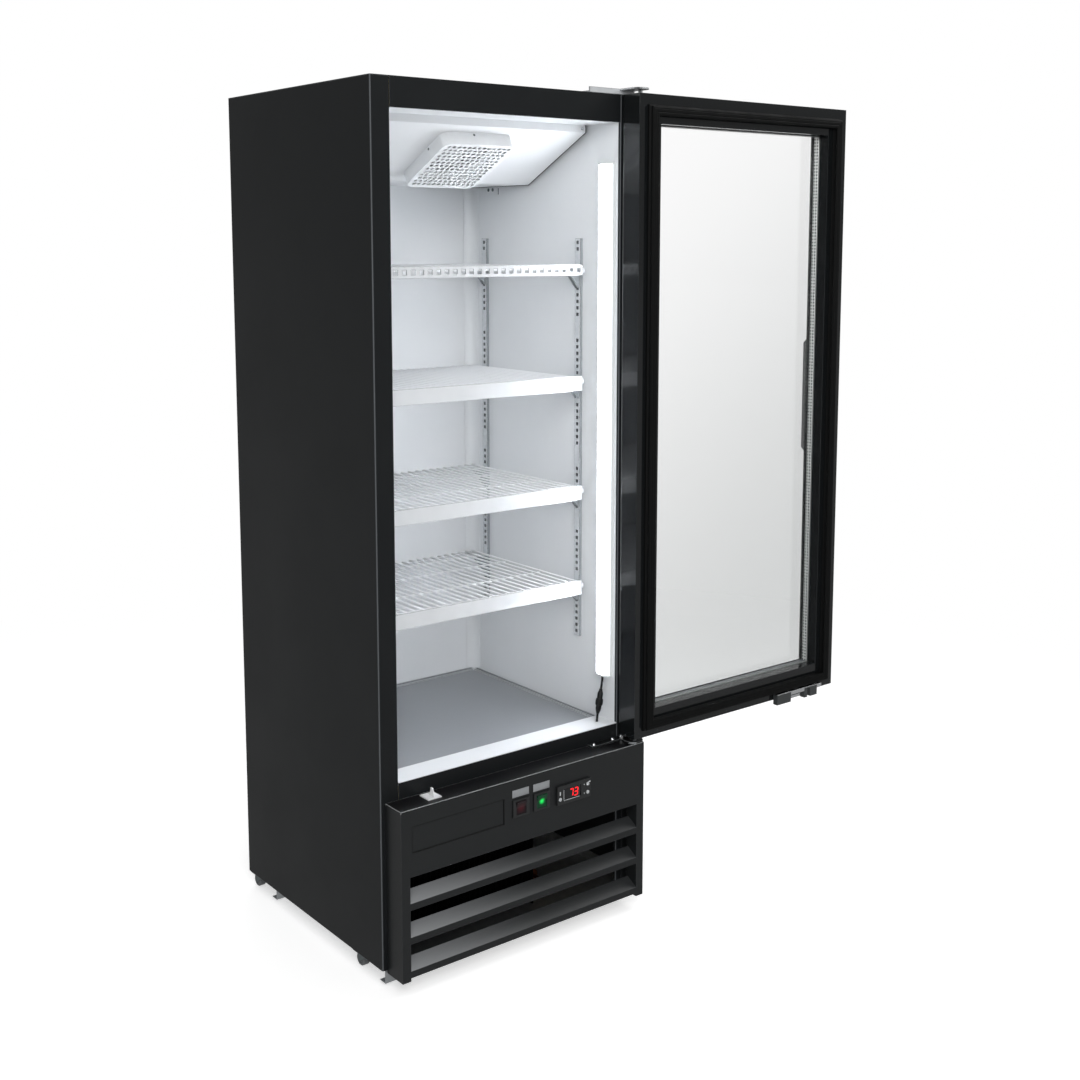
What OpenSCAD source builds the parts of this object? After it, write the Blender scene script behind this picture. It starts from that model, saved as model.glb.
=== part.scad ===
// Upright refrigerated display cabinet with one glass door, shown with the door fully open.
// Row frame: origin on the floor under the centre of the cabinet, +X to the right,
// +Y to the back, +Z up. Inside the modules X starts at the left side, Y at the front
// face and Z at the lower edge of the side panels.

/* [Cabinet] */
// Outside width of the cabinet
cabinet_width = 580; // [540:1:640]
// Depth of the cabinet without the door
cabinet_depth = 517; // [490:1:560]
// Height of the cabinet above the lower edge of its side panels
cabinet_height = 1546; // [1500:1:1620]
// Thickness of the painted steel sheet
sheet = 1.2; // [0.8:0.1:1.5]
// Outside bend radius of the sheet
bend = 3; // [2:0.5:4]
// Thickness of the insulated side walls, which is the width of the front posts
side_wall = 38; // [34:1:42]
// Height of the front rail over the opening
top_wall = 51; // [46:1:56]
// Thickness of the insulated back wall
back_wall = 38; // [34:1:44]
// Height of the sill above the lower edge of the side panels
sill_height = 338; // [334:1:350]
// Depth of the sill plate
sill_depth = 56; // [50:1:64]
// Height of the ceiling of the machine compartment
compartment_top = 262; // [255:1:270]
// Radius of the liner's rear corners
cove = 14; // [8:1:20]

/* [Shelves] */
// Distance from the front face to the shelf fronts
shelf_front = 90; // [84:1:100]
// Height of the shelf price strips
strip_height = 29; // [24:1:32]
// Thickness of a price strip
strip_thickness = 2; // [1.5:0.1:3]
// Space between a shelf and each side wall
shelf_side_gap = 15; // [14:0.5:18]
// Diameter of the shelf wires
wire = 4; // [3:0.5:4.5]
// Spacing of the shelf wires
wire_pitch = 18; // [15:0.5:24]
// Pitch of the slots in the shelf standards
slot_pitch = 12.7; // [12:0.1:14]
// Number of slot pitches that each shelf stands below the top one
shelf_steps = [49, 34, 17, 0];
// Distance from the ceiling down to the top shelf's upper edge
top_shelf_drop = 263.7; // [255:0.1:280]
// Width of a shelf standard
standard_width = 16; // [14:1:24]
// Depth of a shelf standard
standard_depth = 6; // [5:0.5:8]

/* [Door] */
// Width of the door
door_width = 575; // [530:1:576]
// Thickness of the door frame
door_thickness = 50; // [46:1:52]
// Width of the door frame's members
door_member = 54; // [48:1:60]
// Gap between the ledge and the door
door_lift = 11.5; // [11:0.5:14]
// Gap between the door frame and the cabinet, which the gasket fills
gasket_gap = 13; // [12:0.5:14]
// Width of the gasket
gasket_width = 20; // [16:1:22]
// Thickness of one glass pane
pane = 4; // [3:0.5:5]
// Length of the door handle
handle_length = 250; // [200:1:300]
// Opening angle at rest, counted from closed
door_rest_angle = 180; // [90:1:180]
// Diameter of the hinge pins
hinge_pin = 8; // [7:0.5:9]
// Thickness of the hinge plates
hinge_plate = 3; // [2.5:0.1:3.5]

/* [Grille] */
// Distance that the grille panel stands in front of the cabinet
grille_depth = 50; // [48:1:54]
// Distance from the cabinet's sides to the grille panel's
grille_inset = 10; // [8:1:12]
// Height of the ledge on top of the grille panel
ledge_height = 306.5; // [304:0.5:309]
// Thickness of the grille panel
grille_sheet = 1.5; // [1.2:0.1:2]
// Pitch of the louvers
louver_pitch = 62; // [58:1:64]
// Number of louvers
louvers = 3; // [2:1:3]
// Height of a louver's front lip
louver_lip = 12.5; // [10:0.5:15]
// Distance that a louver blade reaches back
louver_run = 25; // [20:1:28]
// Distance that a louver blade rises
louver_rise = 15; // [12:1:18]
// Width of the bars beside the louvers
grille_bar = 17.5; // [15:0.5:20]

/* [Controls] */
// Height of the middle of the controls
controls_height = 251; // [249:0.5:254]
// Width of the name recess
recess_width = 197; // [150:1:200]
// Height of the name recess
recess_height = 47; // [40:1:50]
// Width of a rocker switch's bezel
switch_width = 37; // [35:1:40]
// Height of a rocker switch's bezel
switch_height = 33; // [32:1:36]
// Tilt of a rocker from its middle
rocker_tilt = 8; // [5:1:10]
// Width of the controller's bezel
controller_width = 80; // [76:1:84]
// Height of the controller's bezel
controller_height = 36; // [34:1:38]
// Distance from the cabinet's left side to the first rocker switch
switch_left = 249; // [240:1:255]
// Distance between the middles of the two rocker switches
switch_spacing = 48; // [42:1:50]
// Distance from the cabinet's left side to the controller
controller_left = 350; // [345:1:370]
// Diameter of a controller button
button_diameter = 7; // [6:0.5:8]
// Travel of a controller button
button_travel = 1; // [0.8:0.1:1.2]

/* [Cooling] */
// Distance from the front face to the evaporator cover
cover_front = 90; // [84:1:100]
// Drop of the evaporator cover's front edge
cover_drop = 14; // [10:1:16]
// Height of the flat part of the evaporator cover, below the ceiling
cover_depth = 107; // [100:1:112]
// Length of the cover's slope, measured from front to back
slope_run = 179; // [176:1:190]
// Side of the square fan guard
guard_side = 158; // [152:1:164]
// Depth of the fan guard
guard_depth = 25; // [20:1:28]
// Number of holes across the fan guard
guard_holes = 13; // [9:1:13]
// Diameter of the evaporator fan
evaporator_fan_diameter = 120; // [110:1:124]
// Diameter of the condenser fan
condenser_fan_diameter = 180; // [160:1:184]
// Diameter of the compressor's shell
compressor_diameter = 130; // [120:1:140]

/* [Light] */
// Width of the light bar
light_width = 40; // [34:1:44]
// Depth of the light bar
light_depth = 14; // [12:1:16]
// Distance from the ceiling down to the light bar's upper end
light_top_gap = 72; // [40:1:120]
// Height of the light bar's lower end
light_bottom = 426; // [424:1:440]

/* [Casters] */
// Diameter of the caster wheels
wheel_diameter = 26; // [24:1:28]
// Width of the caster wheels
wheel_width = 14; // [12:1:16]
// Distance from a swivel axis to its wheel's axle
trail = 17; // [16:0.5:19]
// Gap between a wheel and the plate over it
wheel_gap = 1.4; // [1:0.1:3]

/* [Hidden] */

// Fits
shaft_gap = 0.05;
slide_gap = 0.3;
seal_gap = 0.3;
post_gap = 0.5;
cut = 1;

// Colours
black = "#1f2122";
dark_grey = "#3a3d3f";
white = "#e6e9eb";
zinc = "#b4b8bb";
steel = "#8d9196";

// Cabinet
opening_left = side_wall;
opening_right = cabinet_width - side_wall;
ceiling = cabinet_height - top_wall;
back_face = cabinet_depth - back_wall;
return_depth = 6;
rear_lip = 16;
liner_sheet = 1;
tray_sheet = 1.5;
tray_drop = 6;
tray_rim = 4;
tray_gap = 1;
tray_top = sill_height - tray_drop;
liner_floor = tray_top - tray_sheet;
sill_sheet = 1.5;
rail_top = sill_height - sill_sheet;
pan_sheet = 1.5;
pan_rim = 20;
rear_sheet_front = cabinet_depth - 2 * sheet;

// Base rails
base_rail_drop = 25;
base_rail_flange = 18;
base_rail_inset = 6;
front_rail_y = 1;
rear_rail_y = cabinet_depth - 109;

// Hinges
pivot_x = cabinet_width - 20;
pivot_y = -34;
hinge_arm_left = pivot_x - 20;
hinge_arm_right = pivot_x + 16;
hinge_plate_left = pivot_x - 93;
hinge_step = 10;
top_plate_depth = 50;
bottom_plate_depth = 16;
pin_length = 15;
hinge_screw = 5;
top_screw_xs = [hinge_plate_left + 22, hinge_plate_left + 58, pivot_x];
top_screw_y = 26;
bottom_screw_xs = [hinge_plate_left + 10, hinge_plate_left + 58];
bottom_screw_y = -8;
screw_length = 12;
screw_head = 9;
screw_head_height = 2.5;

// Door, as if closed
door_right = pivot_x + 20;
door_left = door_right - door_width;
door_back = -gasket_gap;
door_front = door_back - door_thickness;
door_bottom = ledge_height + door_lift;
door_top = cabinet_height - 1;
door_edge = 8;
glass_rebate = 12;
pane_front = door_front + 8;
pane_back = door_back - 22;
bottom_gasket = door_bottom + 14;
gasket_inset = 20;
gasket_left = door_left + gasket_inset;
gasket_right = pivot_x;
gasket_top = door_top - gasket_inset;
gasket_lip = 3;
spacer_width = 8;
handle_bottom = 822;
handle_left = door_left + 3;
handle_grip = 28;
handle_reach = 28;
handle_wall = 3;
handle_cut = 12;

// Latch
tab_x = door_left + 85;
tab_y = -22;
tab_height = 17.5;
tab_base = [28, 28];
tab_foot = 24;
tab_tip = 6;
tab_lean = 4;
tab_sheet = 2;
catch_slot = 9;
lock_left = tab_x - 40;
lock_right = tab_x + 98;
lock_reach = gasket_gap - 1.5;
lock_sheet = 1.5;
lock_top = bottom_gasket - 0.8;
lock_flange = 8;
near_block = [tab_x - 26, tab_x + 14];
far_block = [tab_x + 56, tab_x + 98];
block_bottom = ledge_height + 2;
bar_height = 6;
notch_height = tab_height + 3 - door_lift;

// Grille
grille_front = -grille_depth;
grille_left = grille_inset;
grille_right = cabinet_width - grille_inset;
grille_bottom = -6;
vent_top = louvers * louver_pitch - 2;
louver_return = louver_run + 3;
side_flange = 14;

// Controls
recess_left = 33;
recess_drop = 1.5;
switch_xs = [switch_left + switch_width / 2, switch_left + switch_spacing + switch_width / 2];
bezel_depth = 2.5;
switch_wall = 3;
switch_depth = 22;
rocker_width = 22;
rocker_radius = 12.5;
rocker_pivot_y = grille_front + 0.5;
rocker_face = 4.5;
rocker_dish = 2.5;
controller_x = controller_left + controller_width / 2;
controller_depth = 5;
controller_rim = 4;
controller_case = 40;
display_width = 42;
display_height = 22;
display_drop = 1.2;
button_out = 1.2;
button_places = [[-33.5, -7], [33, 8], [33, -8]];
button_length = 4.2;

// Shelves
shelf_left = opening_left + shelf_side_gap;
shelf_right = opening_right - shelf_side_gap;
shelf_back = back_face - 16;
strip_drop = 3;
lip_height = strip_height - 8;
front_standard = shelf_front + 27;
rear_standard = back_face - 51;
cross_wires = [front_standard, front_standard + 105, rear_standard - 86, rear_standard];
standard_bottom = ceiling - top_shelf_drop - max(shelf_steps) * slot_pitch - 120;
standard_top = ceiling - top_shelf_drop + 49.7;
slot_width = 6;
slot_height = 6;
slot_group = 7;
slot_skip = 3;
clip_length = 12;
clip_reach = shelf_side_gap - standard_depth + 20;
clip_height = 36;
clip_plate = 2.5;

// Evaporator
cover_sheet = 1.5;
cover_side_gap = 10;
cover_left = opening_left + cover_side_gap;
cover_right = opening_right - cover_side_gap;
cover_back = back_face - 9;
slope_start = ceiling - cover_drop;
slope_end = ceiling - cover_depth;
slope_angle = atan2(slope_start - slope_end, slope_run);
fan_x = cabinet_width / 2 + 6;
fan_shaft = 5;
fan_hole_gap = 6;
guard_radius = 18;
guard_sheet = 1.5;
guard_pitch = (guard_side - 26) / (guard_holes - 1);
guard_hole = 8.6;
coil_left = opening_left + 52;
coil_right = opening_right - 52;
coil_front = cover_front + slope_run + 27;
coil_depth = cover_back - 24 - coil_front;
coil_height = 78;
coil_fin = 2;
coil_fins = 21;
coil_tube = 10;

// Machine compartment
condenser_left = 66;
condenser_width = 300;
condenser_front = 40;
condenser_thick = 44;
condenser_bottom = pan_sheet;
condenser_height = condenser_fan_diameter + 34;
shroud_gap = 0;
shroud_sheet = 1.5;
shroud_ring = 22;
condenser_fan_x = condenser_left + condenser_width / 2;
condenser_fan_z = condenser_bottom + condenser_height / 2 + 4;
compressor_x = cabinet_width - 150;
compressor_y = cabinet_depth - 217;
compressor_height = 168;
compressor_feet = 14;
drain_pan_left = 40;
drain_pan_right = 300;
drain_pan_front = cabinet_depth - 217;
drain_pan_back = cabinet_depth - 47;
drain_pan_height = 40;
pipe = 8;
vent_left = 130;
vent_pitch = 104;
vent_width = 84;
vent_margin = 30;
vent_columns = floor((cabinet_width - vent_left - vent_margin) / vent_pitch);
vent_rows = 9;
vent_bottom = 40;
vent_height = 8;
vent_step = 22;
gland_x = 90;
gland_z = 60;
gland_bore = 9;
gland_body = 15;
gland_flange = 22;

// Casters
plate_thickness = 3;
plate_width = 36;
plate_length = 50;
plate_inset = 2;
front_caster_y = 82;
rear_caster_y = cabinet_depth - 28;
raceway = 2;
stem = 6;
axle = 4;
fork_sheet = 1.5;
fork_gap = 1;
caster_xs = [plate_inset + plate_width / 2, cabinet_width - plate_inset - plate_width / 2];
fork_top = -plate_thickness - raceway - 0.1;
floor_gap = wheel_diameter + wheel_gap + fork_sheet - fork_top;
wheel_z = -floor_gap + wheel_diameter / 2;

// Light
light_front = 15;
light_back = light_front + light_width;
light_left = opening_right - light_depth;
channel_depth = 5;
light_cap = 4;
light_top = ceiling - light_top_gap;
lead_diameter = 4.5;
lead_hole = 9;
lead_exit = [opening_right - 25, 29.5];
connector_diameter = 11;
connector_nut = 15;

// Route of the light's lead, from the bar's lower end down through the sill
lead_upper = [for (p = [[7, 35, 0], [7, 35, 8], [9, 34.5, 18], [11, 34, 26]])
    [opening_right - p[0], p[1], light_bottom - p[2]]];
lead_lower = [for (p = [[22.5, 30.5, -14], [24, 30, -7], [25, 29.5, 0], [25, 29.5, 7]])
    [opening_right - p[0], p[1], sill_height - p[2]]];
lead_sides = 8;

// Moves what is drawn from the cabinet's corner to the row frame
module placed() {
    translate([-cabinet_width / 2, -cabinet_depth / 2, floor_gap]) children();
}

// Turns a piece of the door from closed to its place at rest
module swung() {
    translate([pivot_x, pivot_y, 0])
        rotate([0, 0, door_rest_angle])
            translate([-pivot_x, -pivot_y, 0]) children();
}

// A block between two values on each axis
module block(x, y, z) {
    translate([x[0], y[0], z[0]]) cube([x[1] - x[0], y[1] - y[0], z[1] - z[0]]);
}

// Draws a (Y, Z) outline and extrudes it from x[0] to x[1]
module along_x(x) {
    translate([x[0], 0, 0])
        rotate([90, 0, 90]) linear_extrude(x[1] - x[0]) children();
}

// Draws an (X, Z) outline and extrudes it from y[0] to y[1]
module along_y(y) {
    translate([0, y[1], 0]) rotate([90, 0, 0]) linear_extrude(y[1] - y[0]) children();
}

// Draws an (X, Y) outline and extrudes it from z[0] to z[1]
module along_z(z) {
    translate([0, 0, z[0]]) linear_extrude(z[1] - z[0]) children();
}

// A rod along an axis
module rod_x(x, y, z, d) {
    translate([x[0], y, z]) rotate([0, 90, 0]) cylinder(d = d, h = x[1] - x[0], $fn = 32);
}
module rod_y(x, y, z, d) {
    translate([x, y[0], z]) rotate([-90, 0, 0]) cylinder(d = d, h = y[1] - y[0], $fn = 32);
}
module rod_z(x, y, z, d) {
    translate([x, y, z[0]]) cylinder(d = d, h = z[1] - z[0], $fn = 32);
}

function arc(centre, r, from, to, n = 5) =
    [for (i = [0:n]) centre + r * [cos(from + (to - from) * i / n), sin(from + (to - from) * i / n)]];

module rounded_rectangle(x, y, r) {
    polygon(concat(
        arc([x[1] - r, y[1] - r], r, 0, 90),
        arc([x[0] + r, y[1] - r], r, 90, 180),
        arc([x[0] + r, y[0] + r], r, 180, 270),
        arc([x[1] - r, y[0] + r], r, 270, 360)
    ));
}

module mirrored(on) {
    if (on) translate([cabinet_width, 0, 0]) mirror([1, 0, 0]) children();
    else children();
}

// Outer shell

// The side sheet folds round the front post and the rear edge
module side_sheet() {
    inner = bend - sheet;
    along_z([0, cabinet_height - sheet])
        polygon(concat(
            [[rear_lip, cabinet_depth]],
            arc([bend, cabinet_depth - bend], bend, 90, 180),
            arc([bend, bend], bend, 180, 270),
            arc([side_wall - bend, bend], bend, 270, 360),
            [[side_wall, return_depth], [side_wall - sheet, return_depth]],
            arc([side_wall - bend, bend], inner, 360, 270),
            arc([bend, bend], inner, 270, 180),
            arc([bend, cabinet_depth - bend], inner, 180, 90),
            [[rear_lip, cabinet_depth - sheet]]
        ));
}

module side_panel_left() {
    color(black) placed() side_sheet();
}

module side_panel_right() {
    color(black) placed() mirrored(true) side_sheet();
}

module top_panel() {
    color(black) placed() difference() {
        union() {
            along_z([cabinet_height - sheet, cabinet_height])
                rounded_rectangle([0, cabinet_width], [0, cabinet_depth], bend);
            along_x([opening_left, opening_right]) polygon([
                [0, cabinet_height - sheet], [0, ceiling], [return_depth, ceiling],
                [return_depth, ceiling + sheet], [sheet, ceiling + sheet],
                [sheet, cabinet_height - sheet]
            ]);
        }
        top_screw_holes();
    }
}

module top_screw_holes() {
    for (x = top_screw_xs)
        rod_z(x, top_screw_y, [cabinet_height - screw_length, cabinet_height + 2 * hinge_plate],
              hinge_screw + 2 * shaft_gap);
}

module rear_panel() {
    color(steel) placed()
        block([bend, cabinet_width - bend], [rear_sheet_front, cabinet_depth - sheet],
              [compartment_top, cabinet_height - sheet]);
}

// The rail under the opening, behind the ledge
module lower_rail() {
    color(black) placed()
        along_x([opening_left, opening_right]) polygon([
            [0, compartment_top], [0, rail_top], [return_depth, rail_top],
            [return_depth, rail_top - sheet], [sheet, rail_top - sheet],
            [sheet, compartment_top + sheet], [return_depth, compartment_top + sheet],
            [return_depth, compartment_top]
        ]);
}

// Plan of what fits between the side sheets' bends, from a front edge back to the rear sheet
module shell_plan(front) {
    left = sheet;
    right = cabinet_width - sheet;
    turn = bend - sheet;
    back = rear_sheet_front;
    polygon([
        [left + turn, front], [right - turn, front], [right, front + turn],
        [right, back - turn], [right - turn, back], [left + turn, back],
        [left, back - turn], [left, front + turn]
    ]);
}

// The pan with a rim all round, on two folded rails
module base_frame() {
    post = side_wall + post_gap;
    color(steel) placed() {
        difference() {
            along_z([0, pan_rim]) shell_plan(sheet);
            block([sheet + pan_sheet, cabinet_width - sheet - pan_sheet],
                  [sheet + pan_sheet, rear_sheet_front - pan_sheet], [pan_sheet, pan_rim + cut]);
            block([post - cut, cabinet_width - post + cut], [0, sheet + 2 * pan_sheet],
                  [pan_sheet, pan_rim + cut]);
            for (x = [side_wall - bend, cabinet_width - post])
                block([x, x + bend + post_gap], [0, return_depth + post_gap], [-cut, pan_rim + cut]);
        }
        for (y = [front_rail_y, rear_rail_y])
            along_x([base_rail_inset, cabinet_width - base_rail_inset]) polygon([
                [y, 0], [y, -base_rail_drop], [y + base_rail_flange, -base_rail_drop],
                [y + base_rail_flange, pan_sheet - base_rail_drop],
                [y + pan_sheet, pan_sheet - base_rail_drop], [y + pan_sheet, -pan_sheet],
                [y + base_rail_flange, -pan_sheet], [y + base_rail_flange, 0]
            ]);
    }
}

// Insulated box

// Plan of the liner's inside, grown outwards by a distance
module liner_plan(grow, front) {
    r = cove + grow;
    polygon(concat(
        [[opening_left - grow, front], [opening_right + grow, front]],
        arc([opening_right + grow - r, back_face + grow - r], r, 0, 90),
        arc([opening_left - grow + r, back_face + grow - r], r, 90, 180)
    ));
}

module inner_liner() {
    color(white) placed() difference() {
        along_z([liner_floor - liner_sheet, ceiling + liner_sheet])
            liner_plan(liner_sheet, return_depth);
        along_z([liner_floor, ceiling]) liner_plan(0, return_depth - cut);
    }
}

module insulation() {
    color("#d9cf9c") placed() difference() {
        along_z([compartment_top, cabinet_height - sheet]) shell_plan(return_depth);
        along_z([liner_floor - liner_sheet, ceiling + liner_sheet])
            liner_plan(liner_sheet, return_depth - cut);
        block([opening_left, opening_right], [return_depth - cut, sill_depth],
              [liner_floor - liner_sheet, sill_height + cut]);
        top_screw_holes();
    }
}

module sill_plate() {
    color(white) placed() difference() {
        along_x([opening_left, opening_right]) polygon([
            [0, sill_height], [0, rail_top], [sill_depth - sill_sheet, rail_top],
            [sill_depth - sill_sheet, liner_floor], [sill_depth, liner_floor],
            [sill_depth, sill_height]
        ]);
        rod_z(lead_exit[0], lead_exit[1], [rail_top - cut, sill_height + cut], lead_hole);
    }
}

module floor_tray() {
    inset = tray_gap;
    ridge = 7;
    front = sill_depth + tray_gap;
    color("#8b8e92") placed() {
        along_z([liner_floor, tray_top]) liner_plan(-inset, front);
        along_z([liner_floor, tray_top + tray_rim]) difference() {
            liner_plan(-inset, front);
            liner_plan(-inset - tray_sheet, front - cut);
        }
        along_z([liner_floor, tray_top + tray_rim / 2]) difference() {
            liner_plan(-inset - ridge, front);
            liner_plan(-inset - ridge - 2 * tray_sheet, front - cut);
        }
    }
}

// Cooling inside the box

// Places things on the middle of the cover's slope: X across, Y down the slope, -Z into the room
module on_slope() {
    translate([fan_x, cover_front + slope_run / 2, (slope_start + slope_end) / 2])
        rotate([-slope_angle, 0, 0]) children();
}

function cover_outline(in) = [
    [cover_front + in, ceiling], [cover_front + in, slope_start + in * 0.6],
    [cover_front + slope_run + in * 0.2, slope_end + in], [cover_back - in, slope_end + in],
    [cover_back - in, ceiling]
];

module evaporator_cover() {
    color(white) placed() difference() {
        along_x([cover_left, cover_right]) polygon(cover_outline(0));
        along_x([cover_left + cover_sheet, cover_right - cover_sheet])
            polygon(cover_outline(cover_sheet));
        on_slope() translate([0, 0, -cut * 5])
            cylinder(d = evaporator_fan_diameter + fan_hole_gap, h = 12, $fn = 64);
    }
}

module fan_guard() {
    half = guard_side / 2;
    rows = guard_holes;
    color(white) placed() on_slope() difference() {
        along_z([-guard_depth, 0]) rounded_rectangle([-half, half], [-half, half], guard_radius);
        along_z([guard_sheet - guard_depth, cut])
            rounded_rectangle([guard_sheet - half, half - guard_sheet],
                              [guard_sheet - half, half - guard_sheet],
                              guard_radius - guard_sheet);
        for (i = [0:rows - 1], j = [0:rows - 1])
            translate([(i - (rows - 1) / 2) * guard_pitch - (j % 2 - 0.5) * guard_pitch / 4,
                       (j - (rows - 1) / 2) * guard_pitch, -guard_depth - cut])
                cylinder(d = guard_hole, h = 3 * cut + guard_sheet, $fn = 8);
    }
}

// Fins on tubes, hung from the ceiling by two end plates
module evaporator_coil() {
    z = [ceiling - cover_depth + 8, ceiling - cover_depth + 8 + coil_height];
    y = [coil_front, coil_front + coil_depth];
    step = (coil_right - coil_left - coil_fin) / (coil_fins - 1);
    color(steel) placed() {
        for (i = [1:coil_fins - 2])
            block([coil_left + i * step, coil_left + i * step + coil_fin], y, z);
        for (x = [coil_left, coil_right - coil_fin])
            block([x, x + coil_fin], y, [z[0], ceiling]);
        for (j = [0:2], k = [0:1])
            rod_x([coil_left - 6, coil_right + 6], y[0] + (j + 0.5) * coil_depth / 3,
                  z[0] + 22 + k * 34, coil_tube);
    }
}

// A small motor with its shaft along Z and arms that reach a mounting circle
module fan_motor(body, length, reach, foot, gap) {
    translate([0, 0, gap]) cylinder(d = body, h = length, $fn = 40);
    for (a = [45:90:315]) rotate([0, 0, a]) {
        translate([0, -5, gap]) cube([reach, 10, 3]);
        translate([reach - 3, -5, foot]) cube([3, 10, gap + 3 - foot]);
    }
    translate([0, 0, gap - 12]) cylinder(d = fan_shaft, h = 13, $fn = 24);
}

module evaporator_motor() {
    on_slope() fan_motor(54, 20, evaporator_fan_diameter / 2 + 10, cover_sheet, 24);
}

module condenser_motor() {
    translate([condenser_fan_x, shroud_back, condenser_fan_z]) rotate([-90, 0, 0])
        fan_motor(80, 40, condenser_fan_diameter / 2 + 14, 0, shroud_ring + 8);
}

module fan_motors() {
    color(dark_grey) placed() {
        evaporator_motor();
        condenser_motor();
    }
}

// Blades twisted off the fan's plane, round a hub that turns on the motor's shaft
module fan(diameter, blades, depth, hub) {
    difference() {
        union() {
            cylinder(d = hub, h = depth, $fn = 40);
            intersection() {
                cylinder(d = diameter, h = depth, $fn = 64);
                for (i = [0:blades - 1]) rotate([0, 0, i * 360 / blades])
                    translate([0, 0, depth / 2]) rotate([28, 0, 0])
                        translate([0, -diameter / 5, -0.8])
                            cube([diameter, diameter * 0.4, 1.6]);
            }
        }
        translate([0, 0, -cut]) cylinder(d = fan_shaft + 2 * shaft_gap, h = depth + 2 * cut, $fn = 24);
    }
}

module evaporator_fan() {
    color(dark_grey) placed() on_slope() translate([0, 0, 5])
        fan(evaporator_fan_diameter, 5, 14, 34);
}

module condenser_fan() {
    color(dark_grey) placed()
        translate([condenser_fan_x, shroud_back + 8, condenser_fan_z]) rotate([-90, 0, 0])
            fan(condenser_fan_diameter, 5, 18, 44);
}

// Shelves

// A slotted C profile on a side wall; the profile is open towards the wall
module standard(y) {
    step = slot_pitch;
    count = floor((standard_top - standard_bottom - slot_pitch) / step);
    half = standard_width / 2;
    wall = 1.5;
    difference() {
        block([opening_left, opening_left + standard_depth], [y - half, y + half],
              [standard_bottom, standard_top]);
        block([opening_left - cut, opening_left + standard_depth - wall],
              [y - half + wall, y + half - wall], [standard_bottom - cut, standard_top + cut]);
        for (i = [0:count])
            if (i % (slot_group + slot_skip) < slot_group)
                block([opening_left, opening_left + standard_depth + cut],
                      [y - slot_width / 2, y + slot_width / 2],
                      [standard_bottom + step * (i + 1) - slot_height,
                       standard_bottom + step * (i + 1)]);
    }
}

module shelf_standards() {
    color(zinc) placed() for (side = [false, true], y = [front_standard, rear_standard])
        mirrored(side) standard(y);
}

function shelf_top(i) = ceiling - top_shelf_drop - shelf_steps[i] * slot_pitch;
function wires_top(i) = shelf_top(i) - strip_drop;
function clip_top(i) = wires_top(i) - 2 * wire + wire_bite;
wire_bite = 0.4;

// A clip hooked on a standard, with a flat top and a raked gusset
module clip(y, top) {
    x = opening_left + standard_depth;
    half = clip_length / 2;
    block([x, x + clip_reach], [y - half, y + half], [top - clip_plate, top]);
    for (side = [-1, 1])
        along_y([y + side * (half - clip_plate / 2) - clip_plate / 2,
                 y + side * (half - clip_plate / 2) + clip_plate / 2])
            polygon([[x, top], [x + clip_reach, top], [x + clip_reach, top - clip_plate],
                     [x + clip_plate, top - clip_height], [x, top - clip_height]]);
}

module shelf_clips() {
    color(zinc) placed()
        for (i = [0:3], side = [false, true], y = [front_standard, rear_standard])
            mirrored(side) clip(y, clip_top(i));
}

// Wires from front to back, welded on cross wires
module shelf(i) {
    top = wires_top(i);
    middle = (shelf_left + shelf_right) / 2;
    half = floor((shelf_right - shelf_left - wire) / 2 / wire_pitch);
    front = shelf_front + strip_thickness;
    lower = top - wire - (wire - wire_bite) + wire / 2;
    color(white) placed() {
        for (k = [-half:half])
            translate([middle + k * wire_pitch, front, top - wire / 2]) rotate([-90, 22.5, 0])
                cylinder(d = wire / cos(22.5), h = shelf_back - front, $fn = 8);
        for (y = cross_wires)
            translate([shelf_left, y, lower]) rotate([22.5, 0, 0]) rotate([0, 90, 0])
                cylinder(d = wire / cos(22.5), h = shelf_right - shelf_left, $fn = 8);
    }
}

module shelf_1() { shelf(3); }
module shelf_2() { shelf(2); }
module shelf_3() { shelf(1); }
module shelf_4() { shelf(0); }

// A strip along each shelf's front edge; the top one is slotted
module price_strips() {
    color(white) placed() for (i = [0:3]) difference() {
        block([shelf_left, shelf_right], [shelf_front, shelf_front + strip_thickness],
              [shelf_top(i) - (i == 3 ? lip_height : strip_height), shelf_top(i)]);
        if (i == 3) for (x = [shelf_left + wire_pitch / 2:wire_pitch:shelf_right - wire_pitch / 2])
            block([x, x + wire_pitch / 2], [shelf_front - cut, shelf_front + strip_thickness + cut],
                  [shelf_top(i) - lip_height * 0.7, shelf_top(i) - lip_height * 0.28]);
    }
}

// Light

// Half an ellipse that stands off the channel into the room
module lens_outline(shrink) {
    half = light_width / 2 - shrink;
    depth = light_depth - channel_depth - shrink;
    polygon([for (i = [0:12]) [
        opening_right - channel_depth - depth * sin(i * 15),
        light_front + light_width / 2 + half * cos(i * 15)
    ]]);
}

module led_profile() {
    z = [light_bottom, light_top];
    color(white) placed() {
        block([opening_right - channel_depth, opening_right], [light_front, light_back], z);
        for (end = [z[0], z[1] - light_cap]) along_z([end, end + light_cap]) {
            lens_outline(0);
            translate([opening_right - channel_depth - 0.5, light_front])
                square([channel_depth, light_width]);
        }
    }
}

module led_lens() {
    color("white") placed()
        along_z([light_bottom + light_cap, light_top - light_cap]) lens_outline(0.5);
}

// Rings of points square to a route's steps, for a round tube
function tube_points(path, r, n) = [
    for (i = [0:len(path) - 1])
        let (a = path[max(i - 1, 0)], b = path[min(i + 1, len(path) - 1)],
             d = (b - a) / norm(b - a),
             u = cross(d, abs(d[0]) < 0.9 ? [1, 0, 0] : [0, 1, 0]) / norm(cross(d, abs(d[0]) < 0.9 ? [1, 0, 0] : [0, 1, 0])),
             v = cross(d, u))
        for (k = [0:n - 1]) path[i] + r * (cos(360 * k / n) * u + sin(360 * k / n) * v)
];

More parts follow.
